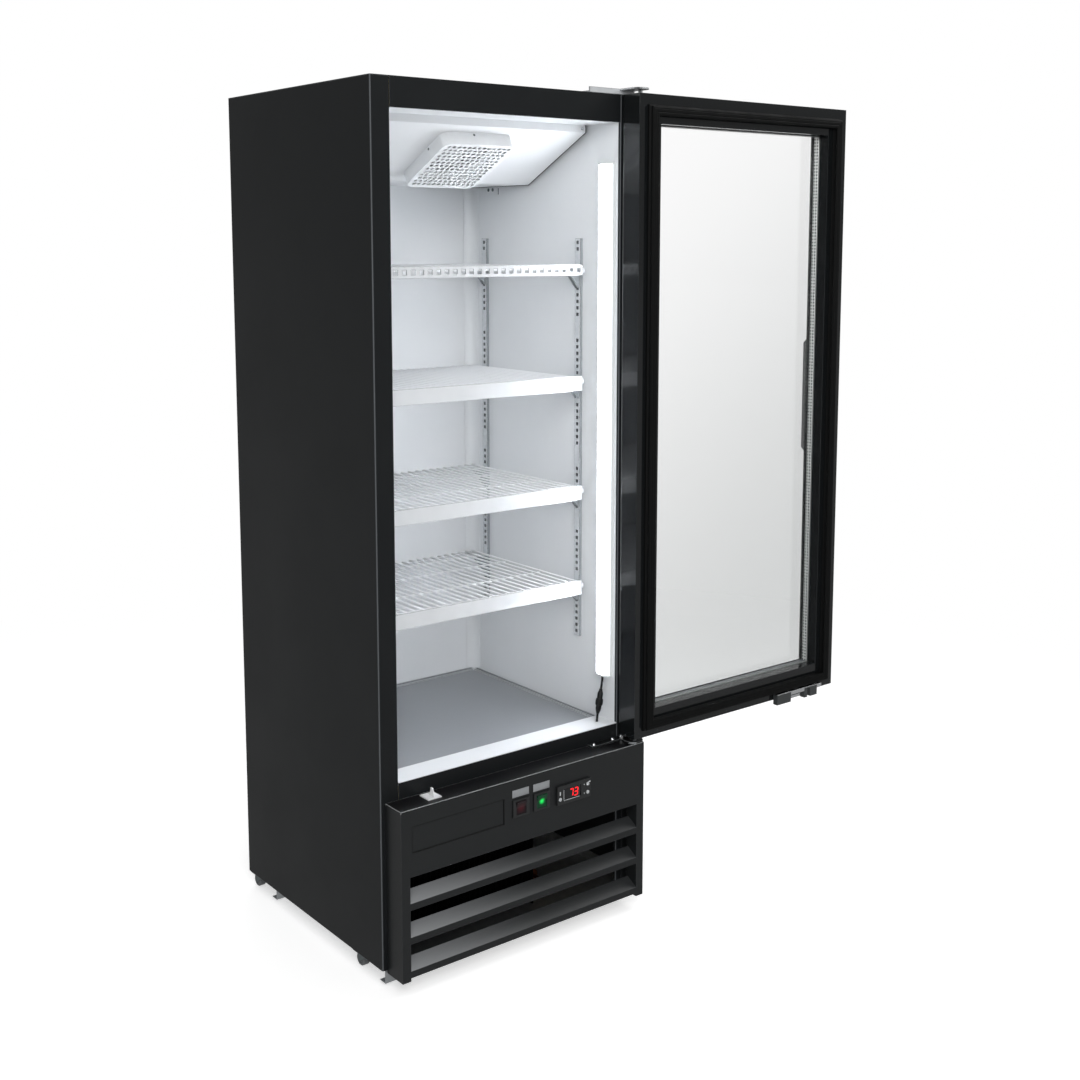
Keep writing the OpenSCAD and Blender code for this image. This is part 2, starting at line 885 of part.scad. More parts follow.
module tube(path, r, n) {
    rings = len(path);
    polyhedron(
        points = tube_points(path, r, n),
        faces = concat(
            [[for (k = [0:n - 1]) k]],
            [for (i = [0:rings - 2], k = [0:n - 1])
                [i * n + k, (i + 1) * n + k, (i + 1) * n + (k + 1) % n]],
            [for (i = [0:rings - 2], k = [0:n - 1])
                [i * n + k, (i + 1) * n + (k + 1) % n, i * n + (k + 1) % n]],
            [[for (k = [n - 1:-1:0]) (rings - 1) * n + k]]
        )
    );
}

module led_lead() {
    color(black) placed() {
        tube(lead_upper, lead_diameter / 2, lead_sides);
        tube(lead_lower, lead_diameter / 2, lead_sides);
    }
}

// The plug and socket in the lead, joined by a nut
module led_connector() {
    top = lead_upper[len(lead_upper) - 1];
    foot = lead_lower[0];
    length = norm(top - foot);
    turn = atan2(top[1] - foot[1], top[0] - foot[0]);
    lean = acos((top[2] - foot[2]) / length);
    color(black) placed() translate(foot) rotate([0, lean, turn]) rotate_extrude($fn = 32)
        polygon([
            [0, 0], [lead_diameter / 2 + 1, 0], [lead_diameter / 2 + 1.5, 6],
            [connector_diameter / 2, 9], [connector_diameter / 2, 17],
            [connector_nut / 2, 17], [connector_nut / 2, 30],
            [connector_diameter / 2, 30], [connector_diameter / 2, length - 8],
            [lead_diameter / 2 + 1, length - 3], [lead_diameter / 2 + 1, length], [0, length]
        ]);
}

// Hinges and latch

module hinge_arm(z) {
    along_z(z) polygon(concat(
        [[hinge_arm_left, hinge_plate], [hinge_arm_left, pivot_y]],
        arc([hinge_arm_left + 16, pivot_y], 16, 180, 270),
        arc([hinge_arm_right - 16, pivot_y], 16, 270, 360),
        [[hinge_arm_right, hinge_plate]]
    ));
}

// A plate on the cabinet's top, a riser along its front and an arm over the door
module top_hinge() {
    z0 = cabinet_height;
    color(zinc) placed() {
        difference() {
            block([hinge_plate_left, hinge_arm_right], [0, top_plate_depth], [z0, z0 + hinge_plate]);
            top_screw_holes();
        }
        block([hinge_plate_left, hinge_arm_right], [0, hinge_plate], [z0, z0 + hinge_step]);
        hinge_arm([z0 + hinge_step - hinge_plate, z0 + hinge_step]);
        rod_z(pivot_x, pivot_y, [door_top - pin_length, z0 + hinge_step], hinge_pin);
    }
}

// A plate on the ledge with a lip down the cabinet's front, and the lower pin
module bottom_hinge() {
    z0 = ledge_height;
    color(black) placed() {
        difference() {
            union() {
                block([hinge_plate_left, hinge_arm_right], [-bottom_plate_depth, 0],
                      [z0, z0 + hinge_plate]);
                hinge_arm_forward([z0, z0 + hinge_plate]);
            }
            bottom_screw_holes();
        }
        block([hinge_plate_left, opening_right - bend], [-hinge_plate, 0], [z0 - 24, z0 + hinge_plate]);
        rod_z(pivot_x, pivot_y, [z0 + hinge_plate, door_bottom - seal_gap], hinge_pin * 2);
        rod_z(pivot_x, pivot_y, [z0, door_bottom + pin_length], hinge_pin);
    }
}

module hinge_arm_forward(z) {
    intersection() {
        hinge_arm(z);
        block([hinge_arm_left, hinge_arm_right], [pivot_y - 20, -bottom_plate_depth / 2], z);
    }
}

module bottom_screw_holes() {
    for (x = bottom_screw_xs)
        rod_z(x, bottom_screw_y, [ledge_height - screw_length, ledge_height + 2 * hinge_plate],
              hinge_screw + 2 * shaft_gap);
}

module screw(x, y, top) {
    rod_z(x, y, [top - hinge_plate - screw_length + 4, top + cut], hinge_screw);
    translate([x, y, top]) difference() {
        cylinder(d1 = screw_head, d2 = screw_head - 2.5, h = screw_head_height, $fn = 32);
        for (a = [0, 90]) rotate([0, 0, a])
            translate([-2.5, -0.5, screw_head_height - 1]) cube([5, 1, 2]);
    }
}

module screws() {
    color(zinc) placed() {
        for (x = top_screw_xs) screw(x, top_screw_y, cabinet_height + hinge_plate);
        for (x = bottom_screw_xs) screw(x, bottom_screw_y, ledge_height + hinge_plate);
    }
}

// The striker on the ledge
module catch_tab() {
    z0 = ledge_height;
    color(white) placed() {
        block([tab_x - tab_base[0] / 2, tab_x + tab_base[0] / 2],
              [tab_y - tab_base[1] / 2, tab_y + tab_base[1] / 2], [z0, z0 + tab_sheet]);
        along_x([tab_x - tab_sheet / 2, tab_x + tab_sheet / 2]) polygon(concat(
            [for (i = [0:6]) let (a = i * 15) [
                tab_y - tab_lean + tab_tip / 2 + (tab_foot / 2 - tab_tip / 2 + tab_lean) * (1 - sin(a)),
                z0 + tab_height * (1 - cos(a))
            ]],
            [[tab_y - tab_lean - tab_tip / 2, z0 + tab_height], [tab_y - tab_foot / 2, z0]]
        ));
    }
}

// Grille panel with the controls

module grille_panel() {
    t = grille_sheet;
    color(black) placed() {
        difference() {
            block([grille_left, grille_right], [grille_front, 0], [grille_bottom, ledge_height]);
            block([grille_left + t, grille_right - t], [grille_front + t, -t],
                  [grille_bottom - cut, ledge_height - t]);
            block([grille_left + side_flange, grille_right - side_flange], [-2 * t, cut],
                  [grille_bottom - cut, ledge_height - t]);
            block([hinge_plate_left - cut, opening_right - bend + cut], [-hinge_plate - 0.5, cut],
                  [ledge_height - 2 * t, ledge_height + cut]);
            block([grille_left + grille_bar, grille_right - grille_bar],
                  [grille_front - cut, grille_front + t + cut], [grille_bottom - cut, vent_top]);
            for (x = switch_xs)
                block([x - switch_width / 2 + 2, x + switch_width / 2 - 2],
                      [grille_front - cut, grille_front + t + cut],
                      [controls_height - switch_height / 2 + 2, controls_height + switch_height / 2 - 2]);
            block([controller_x - controller_width / 2 + 4, controller_x + controller_width / 2 - 4],
                  [grille_front - cut, grille_front + t + cut],
                  [controls_height - controller_height / 2 + 3, controls_height + controller_height / 2 - 3]);
            block([recess_left, recess_left + recess_width], [grille_front - cut, grille_front + recess_drop],
                  [controls_height - recess_height / 2, controls_height + recess_height / 2]);
            bottom_screw_holes();
        }
        block([recess_left - t, recess_left + recess_width + t],
              [grille_front + recess_drop, grille_front + recess_drop + t],
              [controls_height - recess_height / 2 - t, controls_height + recess_height / 2 + t]);
        for (x = [grille_left + grille_bar - t, grille_right - grille_bar])
            block([x, x + t], [grille_front, grille_front + louver_return], [grille_bottom, vent_top]);
        for (i = [0:louvers - 1]) louver(i * louver_pitch);
        block([grille_left + grille_bar - t, grille_right - grille_bar + t],
              [grille_front, grille_front + louver_lip], [vent_top, vent_top + t]);
    }
}

// A blade that comes down to a lip at the front
module louver(z) {
    t = grille_sheet;
    y = grille_front;
    along_x([grille_left + grille_bar - t / 2, grille_right - grille_bar + t / 2]) polygon([
        [y, z], [y, z + louver_lip], [y + louver_run, z + louver_lip + louver_rise],
        [y + louver_run + t / 2, z + louver_lip + louver_rise - t],
        [y + t, z + louver_lip - t], [y + t, z]
    ]);
}

module switch_bezels() {
    hx = switch_width / 2;
    hz = switch_height / 2;
    color(black) placed() for (x = switch_xs) difference() {
        union() {
            block([x - hx, x + hx], [grille_front - bezel_depth, grille_front],
                  [controls_height - hz, controls_height + hz]);
            block([x - hx + 2, x + hx - 2], [grille_front - cut, grille_front + switch_depth],
                  [controls_height - hz + 2, controls_height + hz - 2]);
        }
        block([x - rocker_width / 2 - slide_gap, x + rocker_width / 2 + slide_gap],
              [grille_front - 2 * bezel_depth, grille_front + switch_depth - switch_wall],
              [controls_height - rocker_radius - slide_gap, controls_height + rocker_radius + slide_gap]);
    }
}

// A rocker whose ends are round about its pivot, with a dished face
module rocker(x) {
    r = rocker_radius;
    translate([x, rocker_pivot_y, controls_height]) rotate([rocker_tilt, 0, 0])
        intersection() {
            translate([-rocker_width / 2, 0, 0]) rotate([0, 90, 0])
                cylinder(r = r, h = rocker_width, $fn = 64);
            along_x([-rocker_width / 2, rocker_width / 2]) polygon([
                [-rocker_face, -r], [rocker_dish - rocker_face, 0], [-rocker_face, r],
                [7, r], [7, -r]
            ]);
        }
}

module power_rocker() {
    color("#4a1216") placed() rocker(switch_xs[0]);
}

module light_rocker() {
    color("#0fae4a") placed() rocker(switch_xs[1]);
}

module controller_body() {
    hx = controller_width / 2;
    hz = controller_height / 2;
    y = grille_front;
    color(dark_grey) placed() difference() {
        union() {
            block([controller_x - hx, controller_x + hx], [y - controller_depth, y],
                  [controls_height - hz, controls_height + hz]);
            block([controller_x - hx + 4, controller_x + hx - 4], [y - cut, y + controller_case],
                  [controls_height - hz + 3, controls_height + hz - 3]);
        }
        translate([controller_x - 4, 0, controls_height])
            block([-display_width / 2, display_width / 2], [y - 2 * controller_depth, y - controller_depth + display_drop],
                  [-display_height / 2, display_height / 2]);
        for (p = button_places)
            rod_y(controller_x + p[0], [y - controller_depth - cut, y], controls_height + p[1],
                  button_diameter + 2 * slide_gap);
    }
}

module controller_button(i) {
    p = button_places[i];
    y = grille_front - controller_depth - button_out;
    color(zinc) placed()
        translate([controller_x + p[0], y, controls_height + p[1]]) rotate([-90, 0, 0])
            rotate_extrude($fn = 32) polygon([
                [0, 0], [button_diameter / 2 - 0.6, 0], [button_diameter / 2, 0.6],
                [button_diameter / 2, button_length], [0, button_length]
            ]);
}

module set_button() { controller_button(0); }
module up_button() { controller_button(1); }
module down_button() { controller_button(2); }

// Machine compartment

shroud_back = condenser_front + condenser_thick + shroud_sheet;

module condenser() {
    fins = 24;
    z = [condenser_bottom, condenser_bottom + condenser_height];
    x = [condenser_left, condenser_left + condenser_width];
    y = [condenser_front, condenser_front + condenser_thick];
    step = (condenser_width - 3) / fins;
    color(steel) placed() {
        for (i = [1:fins - 1])
            block([x[0] + i * step, x[0] + i * step + 1.6], y, [z[0] + 6, z[1] - 6]);
        for (edge = [x[0], x[1] - 3]) block([edge, edge + 3], y, z);
        for (j = [0:1], k = [0:5])
            rod_x([x[0] - 5, x[1] + 5], y[0] + 11 + j * 22, z[0] + 22 + k * 34, pipe);
    }
}

module condenser_shroud() {
    y = condenser_front + condenser_thick;
    x = [condenser_left, condenser_left + condenser_width];
    z = [condenser_bottom, condenser_bottom + condenser_height];
    bore = condenser_fan_diameter + 8;
    color(black) placed() difference() {
        union() {
            block(x, [y, y + shroud_sheet], z);
            rod_y(condenser_fan_x, [y, y + shroud_ring], condenser_fan_z, bore + 4);
        }
        rod_y(condenser_fan_x, [y - cut, y + shroud_ring + cut], condenser_fan_z, bore);
    }
}

module compressor() {
    r = compressor_diameter / 2;
    h = compressor_height;
    color(black) placed() translate([compressor_x, compressor_y, pan_sheet]) {
        difference() {
            union() {
                translate([0, 0, compressor_feet]) rotate_extrude($fn = 64) polygon(concat(
                    [[0, 0]], arc([r - 24, 24], 24, 270, 360), [[r, h * 0.55]],
                    [[r + 3, h * 0.55], [r + 3, h * 0.55 + 5], [r - 1, h * 0.55 + 5]],
                    arc([r - 35, h - 34], 34, 0, 90), [[0, h]]
                ));
                translate([-r, -r, compressor_feet]) cube([2 * r, 2 * r, 3]);
            }
            for (x = [-1, 1], y = [-1, 1])
                translate([x * (r - 12), y * (r - 12), compressor_feet - cut])
                    cylinder(d = 9, h = 6, $fn = 24);
        }
        for (x = [-1, 1], y = [-1, 1]) translate([x * (r - 12), y * (r - 12), 0])
            cylinder(d1 = 22, d2 = 18, h = compressor_feet, $fn = 32);
    }
}

// Suction and discharge pipes between the coils and the compressor
module refrigerant_pipes() {
    top = pan_sheet + compressor_feet + compressor_height * 0.4;
    x0 = condenser_left + condenser_width + 5;
    r = compressor_diameter / 2;
    low = condenser_bottom + 22;
    color("#b87333") placed() {
        tube([[x0, condenser_front + 11, low], [x0 + 20, condenser_front + 11, low],
              [x0 + 34, condenser_front + 20, low], [x0 + 40, condenser_front + 40, low],
              [x0 + 40, 150, low], [x0 + 42, 178, low + 12],
              [compressor_x - 4, compressor_y - r - 36, top - 12],
              [compressor_x, compressor_y - r - 20, top],
              [compressor_x, compressor_y - r - seal_gap, top]], pipe / 2, 8);
        tube([[compressor_x, compressor_y + r + seal_gap, top],
              [compressor_x, compressor_y + r + 14, top],
              [compressor_x, compressor_y + r + 28, top + 10],
              [compressor_x, compressor_y + r + 34, top + 30],
              [compressor_x, compressor_y + r + 34, compartment_top]], pipe / 2, 8);
        rod_y(x0 + 40, [condenser_front + 60, condenser_front + 130], low, 3 * pipe);
    }
}

module drain_pan() {
    t = 2;
    color(dark_grey) placed() difference() {
        along_z([pan_sheet, pan_sheet + drain_pan_height])
            rounded_rectangle([drain_pan_left, drain_pan_right], [drain_pan_front, drain_pan_back], 12);
        along_z([pan_sheet + t, pan_sheet + drain_pan_height + cut])
            rounded_rectangle([drain_pan_left + t, drain_pan_right - t],
                              [drain_pan_front + t, drain_pan_back - t], 12 - t);
    }
}

module rear_grille() {
    color(black) placed() difference() {
        block([bend, cabinet_width - bend], [rear_sheet_front, cabinet_depth - sheet],
              [0, compartment_top]);
        for (col = [0:vent_columns - 1], row = [0:vent_rows - 1]) {
            x = vent_left + col * vent_pitch;
            z = vent_bottom + row * vent_step;
            along_y([rear_sheet_front - cut, cabinet_depth])
                rounded_rectangle([x, x + vent_width], [z, z + vent_height], vent_height / 2 - 0.1);
        }
        rod_y(gland_x, [rear_sheet_front - cut, cabinet_depth], gland_z, gland_body);
    }
}

module cord_gland() {
    y = cabinet_depth - sheet;
    color(dark_grey) placed() difference() {
        union() {
            rod_y(gland_x, [rear_sheet_front - 6, y + 3], gland_z, gland_body);
            rod_y(gland_x, [y, y + 3], gland_z, gland_flange);
            rod_y(gland_x, [rear_sheet_front - 6, rear_sheet_front], gland_z, gland_flange);
        }
        rod_y(gland_x, [rear_sheet_front - 7, y + 4], gland_z, gland_bore);
    }
}

// Casters

// Two cheeks behind a swivel axis at the origin, with the wheel's axle
module fork_cheeks(x) {
    inner = wheel_width / 2 + fork_gap;
    for (side = [-1, 1])
        along_x([x + side * (inner + fork_sheet / 2) - fork_sheet / 2,
                 x + side * (inner + fork_sheet / 2) + fork_sheet / 2])
            polygon(concat(
                [[-11, fork_top], [-11, fork_top - fork_sheet]],
                arc([trail, wheel_z], axle, 225, 340),
                [[trail + 5, fork_top]]
            ));
    rod_x([x - inner - fork_sheet, x + inner + fork_sheet], trail, wheel_z, axle);
}

module fork(x) {
    half = wheel_width / 2 + fork_gap + fork_sheet;
    translate([0, front_caster_y, 0]) {
        fork_cheeks(x);
        difference() {
            block([x - half, x + half], [-11, trail + 5], [fork_top - fork_sheet, fork_top]);
            rod_z(x, 0, [fork_top - 2 * fork_sheet, fork_top + cut], stem + 2 * shaft_gap);
        }
    }
}

module fork_left() {
    color(zinc) placed() fork(caster_xs[0]);
}

module fork_right() {
    color(zinc) placed() fork(caster_xs[1]);
}

// Plates under the pan: the front ones hold a swivel pin, the rear ones fixed cheeks
module caster_plates() {
    color(zinc) placed() {
        for (x = caster_xs, y = [front_caster_y, rear_caster_y])
            block([x - plate_width / 2, x + plate_width / 2], [y - plate_length / 2, y + plate_length / 2],
                  [-plate_thickness, 0]);
        for (x = caster_xs) translate([0, front_caster_y, 0]) {
            rod_z(x, 0, [-plate_thickness - raceway, -plate_thickness], 18);
            rod_z(x, 0, [fork_top - fork_sheet - 1.6, -plate_thickness], stem);
            rod_z(x, 0, [fork_top - fork_sheet - 1.6, fork_top - fork_sheet - 0.1], stem + 2.5);
        }
        for (x = caster_xs) translate([0, rear_caster_y, 0]) {
            fork_cheeks(x);
            half = wheel_width / 2 + fork_gap + fork_sheet;
            for (side = [-1, 1])
                block([x + side * (half - fork_sheet / 2) - fork_sheet / 2,
                       x + side * (half - fork_sheet / 2) + fork_sheet / 2],
                      [-11, trail + 5], [fork_top - fork_sheet, -plate_thickness]);
        }
    }
}

module wheel(x, y) {
    r = wheel_diameter / 2;
    half = wheel_width / 2;
    color(dark_grey) placed()
        translate([x, y + trail, wheel_z]) rotate([0, 90, 0]) rotate_extrude($fn = 48) polygon([
            [axle / 2 + shaft_gap, -half], [5, -half], [5, 1.5 - half], [r - 4, 1.5 - half],
            [r - 4, -half], [r - 1.5, -half], [r, 1.5 - half], [r, half - 1.5],
            [r - 1.5, half], [r - 4, half], [r - 4, half - 1.5], [5, half - 1.5],
            [5, half], [axle / 2 + shaft_gap, half]
        ]);
}

module wheel_front_left() { wheel(caster_xs[0], front_caster_y); }
module wheel_front_right() { wheel(caster_xs[1], front_caster_y); }
module wheel_rear_left() { wheel(caster_xs[0], rear_caster_y); }
module wheel_rear_right() { wheel(caster_xs[1], rear_caster_y); }

// Door, drawn closed and swung open

// A ring in the door's plane, from y[0] to y[1], grown inwards by a width
module door_ring(y, width) {
    difference() {
        block([door_left, door_right], y, [door_bottom, door_top]);
        block([door_left + width, door_right - width], [y[0] - cut, y[1] + cut],
              [door_bottom + width, door_top - width]);
    }
}

module edge_round(x, side) {
    r = door_edge;
    difference() {
        block([min(x, x + side * r) - (side > 0 ? cut : 0), max(x, x + side * r) + (side < 0 ? cut : 0)],
              [door_front - cut, door_front + r], [door_bottom - cut, door_top + cut]);
        rod_z(x + side * r, door_front + r, [door_bottom - 2 * cut, door_top + 2 * cut], 2 * r);
    }
}

module door_frame() {
    color(black) placed() swung() difference() {
        union() {
            door_ring([door_front, pane_front], door_member);
            door_ring([pane_front, pane_back], door_member - glass_rebate);
            door_ring([pane_back, door_back], door_member);
        }
        edge_round(door_left, 1);
        edge_round(door_right, -1);
        rod_z(pivot_x, pivot_y, [door_top - pin_length - 1, door_top + cut], hinge_pin + 2 * shaft_gap);
        rod_z(pivot_x, pivot_y, [door_bottom - cut, door_bottom + pin_length + 1],
              hinge_pin + 2 * shaft_gap);
        block([tab_x - catch_slot / 2, tab_x + catch_slot / 2],
              [tab_y - tab_foot / 2 - 4, door_back + cut],
              [door_bottom - cut, door_bottom + notch_height]);
    }
}

module door_glass() {
    inset = door_member - glass_rebate;
    color("#dfe8ea", 0.35) placed() swung()
        for (y = [pane_front, pane_back - pane])
            block([door_left + inset, door_right - inset], [y, y + pane],
                  [door_bottom + inset, door_top - inset]);
}

// The hollow bar that keeps the panes apart
module glass_spacer() {
    inset = door_member - glass_rebate + 6;
    y = [pane_front + pane, pane_back - pane];
    color(zinc) placed() swung() difference() {
        block([door_left + inset, door_right - inset], y, [door_bottom + inset, door_top - inset]);
        block([door_left + inset + spacer_width, door_right - inset - spacer_width],
              [y[0] - cut, y[1] + cut],
              [door_bottom + inset + spacer_width, door_top - inset - spacer_width]);
    }
}

module door_gasket() {
    w = gasket_width;
    color("#111213") placed() swung() difference() {
        union() {
            block([gasket_left, gasket_right], [door_back, -seal_gap], [bottom_gasket, gasket_top]);
        }
        block([gasket_left + w, gasket_right - w], [door_back - cut, cut],
              [bottom_gasket + w, gasket_top - w]);
        difference() {
            block([gasket_left - cut, gasket_right + cut], [door_back + 3, door_back + 7],
                  [bottom_gasket - cut, gasket_top + cut]);
            block([gasket_left + gasket_lip, gasket_right - gasket_lip], [door_back, 0],
                  [bottom_gasket + gasket_lip, gasket_top - gasket_lip]);
        }
    }
}

// A channel handle with raked ends, open towards the door's free edge
module door_handle() {
    x = handle_left;
    y = door_front;
    t = handle_wall;
    z = [handle_bottom, handle_bottom + handle_length];
    color(black) placed() swung() intersection() {
        along_z(z) polygon([
            [x + door_edge - t, y], [x + handle_grip, y], [x + handle_grip, y - handle_reach],
            [x, y - handle_reach], [x, y - handle_reach + 9], [x + t, y - handle_reach + 9],
            [x + t, y - handle_reach + t], [x + handle_grip - t, y - handle_reach + t],
            [x + handle_grip - t, y - t], [x + door_edge - t, y - t]
        ]);
        along_x([x - cut, x + handle_grip + cut]) polygon([
            [y, z[0]], [y - handle_reach + handle_cut, z[0]],
            [y - handle_reach, z[0] + handle_cut], [y - handle_reach, z[1] - handle_cut],
            [y - handle_reach + handle_cut, z[1]], [y, z[1]]
        ]);
    }
}

// The angle on the door's inner face, over two guide blocks and the bar between them
module lock_bracket() {
    y = door_back;
    out = door_back + lock_reach;
    color(zinc) placed() swung() {
        difference() {
            union() {
                block([lock_left, lock_right], [y, out], [lock_top - lock_sheet, lock_top]);
                block([lock_left, lock_right], [out - lock_sheet, out], [lock_top - lock_flange, lock_top]);
            }
            for (x = [lock_left + 8:28:lock_right - 20])
                block([x, x + 14], [y + 4, y + 7], [lock_top - 2 * lock_sheet, lock_top + cut]);
            for (x = [near_block, far_block])
                block(x, [y - cut, out + cut],
                      [lock_top - lock_flange - cut, lock_top - lock_sheet]);
        }
        block([near_block[1], far_block[0]], [y + 2, y + 5],
              [block_bottom + 4, block_bottom + 4 + bar_height]);
    }
}

module lock_blocks() {
    out = door_back + lock_reach;
    color(dark_grey) placed() swung() {
        difference() {
            block(near_block, [door_back, out], [block_bottom, lock_top - lock_sheet]);
            block([tab_x - catch_slot / 2, tab_x + catch_slot / 2], [door_back - cut, out + cut],
                  [block_bottom - cut, door_bottom + notch_height]);
        }
        block(far_block, [door_back, out], [block_bottom, lock_top - lock_sheet]);
    }
}

side_panel_left();
side_panel_right();
top_panel();
rear_panel();
lower_rail();
base_frame();
insulation();
inner_liner();
sill_plate();
floor_tray();
evaporator_cover();
fan_guard();
evaporator_coil();
fan_motors();
shelf_standards();
shelf_clips();
shelf_1();
shelf_2();
shelf_3();
shelf_4();
price_strips();
led_profile();
led_lens();
led_lead();
led_connector();
top_hinge();
bottom_hinge();
screws();
catch_tab();
grille_panel();
switch_bezels();
controller_body();
compressor();
condenser();
condenser_shroud();
refrigerant_pipes();
drain_pan();
rear_grille();
cord_gland();
caster_plates();
power_rocker();
light_rocker();
set_button();
up_button();
down_button();
evaporator_fan();
condenser_fan();
fork_left();
fork_right();
wheel_front_left();
wheel_front_right();
wheel_rear_left();
wheel_rear_right();
door_frame();
door_glass();
glass_spacer();
door_gasket();
door_handle();
lock_bracket();
lock_blocks();
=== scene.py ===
import math

import bmesh
import bpy
import numpy as np
from bpy.props import FloatProperty, IntProperty, PointerProperty, StringProperty
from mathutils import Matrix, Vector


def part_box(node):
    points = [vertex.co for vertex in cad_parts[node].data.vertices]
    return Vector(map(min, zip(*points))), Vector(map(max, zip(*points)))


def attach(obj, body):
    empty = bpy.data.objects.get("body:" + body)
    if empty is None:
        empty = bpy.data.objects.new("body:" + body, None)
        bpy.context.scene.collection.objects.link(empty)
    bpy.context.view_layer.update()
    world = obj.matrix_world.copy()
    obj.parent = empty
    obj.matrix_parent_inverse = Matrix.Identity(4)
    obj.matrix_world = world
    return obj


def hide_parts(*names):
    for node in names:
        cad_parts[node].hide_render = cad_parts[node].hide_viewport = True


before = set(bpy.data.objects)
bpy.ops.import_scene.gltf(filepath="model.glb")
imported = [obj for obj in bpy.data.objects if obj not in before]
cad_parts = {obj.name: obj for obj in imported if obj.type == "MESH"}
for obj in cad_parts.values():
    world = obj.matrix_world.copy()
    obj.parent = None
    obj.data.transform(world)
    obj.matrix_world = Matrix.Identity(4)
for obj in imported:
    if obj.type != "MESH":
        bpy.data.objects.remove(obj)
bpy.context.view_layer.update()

bl_info = {
    "name": "Display refrigerator",
    "version": (1, 0, 0),
    "blender": (4, 5, 0),
    "location": "View3D > Sidebar > Refrigerator",
    "description": "Dresses the packed model of an upright glass door refrigerator",
    "category": "Object",
}

# Height of the ledge on top of the grille panel
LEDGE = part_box("grille_panel")[1][2]
# Middle and half size of the recess in the grille panel's face
RECESS_MIDDLE = (-0.1585, 0.0, 0.285)
RECESS_HALF = (0.0985, 0.0, 0.0235)
# How far the glow draws in between two lamps of the light bar, in metres
LAMP_SWELL = 0.0085
SHELVES = ("shelf_1", "shelf_2", "shelf_3", "shelf_4")

# These are in mm from the side panels' lower left front corner, as millimetres() takes them
CONTROLS_HEIGHT = 251.0
SWITCH_MIDDLES = (267.5, 315.5)
CONTROLLER_MIDDLE = 390.0
LINER_SIDES = (38.0, 542.0)
LINER_BACK = 479.0
LINER_FLOOR = 336.4
COVER_TOP = 1494.5


# Colour and node helpers

def linear(text):
    """An sRGB hex colour as linear RGBA, the form that a shader's sockets take."""
    value = np.array([int(text[i:i + 2], 16) for i in (1, 3, 5)]) / 255.0
    value = np.where(value <= 0.04045, value / 12.92, ((value + 0.055) / 1.055) ** 2.4)
    return (*value.tolist(), 1.0)


def add(tree, kind, links=None, fixed=None, **settings):
    """Adds a node, sets its properties and fixed input values, and links its inputs."""
    node = tree.nodes.new(kind)
    for key, value in settings.items():
        setattr(node, key, value)
    for key, value in (fixed or {}).items():
        node.inputs[key].default_value = value
    for key, source in (links or {}).items():
        tree.links.new(source, node.inputs[key])
    return node


def finish_material(name, colour, roughness, metallic=0.0, **sockets):
    """A new material whose shader starts from one colour and one roughness."""
    material = bpy.data.materials.new(name)
    material.use_nodes = True
    material.diffuse_color = linear(colour)
    shader = material.node_tree.nodes["Principled BSDF"]
    shader.inputs["Base Color"].default_value = linear(colour)
    shader.inputs["Roughness"].default_value = roughness
    shader.inputs["Metallic"].default_value = metallic
    for key, value in sockets.items():
        shader.inputs[key.replace("_", " ")].default_value = value
    return material, material.node_tree, shader


def object_place(tree, scale=(1, 1, 1)):
    """Object coordinates through a Mapping node, in metres times scale."""
    place = add(tree, "ShaderNodeTexCoord")
    return add(tree, "ShaderNodeMapping", {"Vector": place.outputs["Object"]},
               fixed={"Scale": scale}).outputs["Vector"]


def two_tones(tree, shader, factor, low, high):
    """Runs the base colour from one tone to another as a factor goes from nought to one."""
    tone = add(tree, "ShaderNodeMix", {"Factor": factor}, data_type="RGBA")
    tone.inputs["A"].default_value = linear(low)
    tone.inputs["B"].default_value = linear(high)
    tree.links.new(tone.outputs["Result"], shader.inputs["Base Color"])


def mottle(tree, shader, low, high, scale, roughness=None, detail=3.0, vector=None):
    """Varies the colour between two tones, and the roughness between two values, by noise."""
    noise = add(tree, "ShaderNodeTexNoise", {"Vector": vector or object_place(tree)},
                fixed={"Scale": scale, "Detail": detail})
    two_tones(tree, shader, noise.outputs["Fac"], low, high)
    if roughness:
        spread = add(tree, "ShaderNodeMapRange", {"Value": noise.outputs["Fac"]},
                     fixed={"From Min": 0.3, "From Max": 0.7, "To Min": roughness[0],
                             "To Max": roughness[1]})
        tree.links.new(spread.outputs["Result"], shader.inputs["Roughness"])
    return noise


def overlay(tree, shader, factor, colour):
    """Lays a colour over the shader's own base colour where a factor rises to one."""
    base = shader.inputs["Base Color"]
    tone = add(tree, "ShaderNodeMix", {"Factor": factor}, data_type="RGBA")
    tone.inputs["A"].default_value = base.default_value
    tone.inputs["B"].default_value = linear(colour)
    if base.links:
        tree.links.new(base.links[0].from_socket, tone.inputs["A"])
    tree.links.new(tone.outputs["Result"], base)


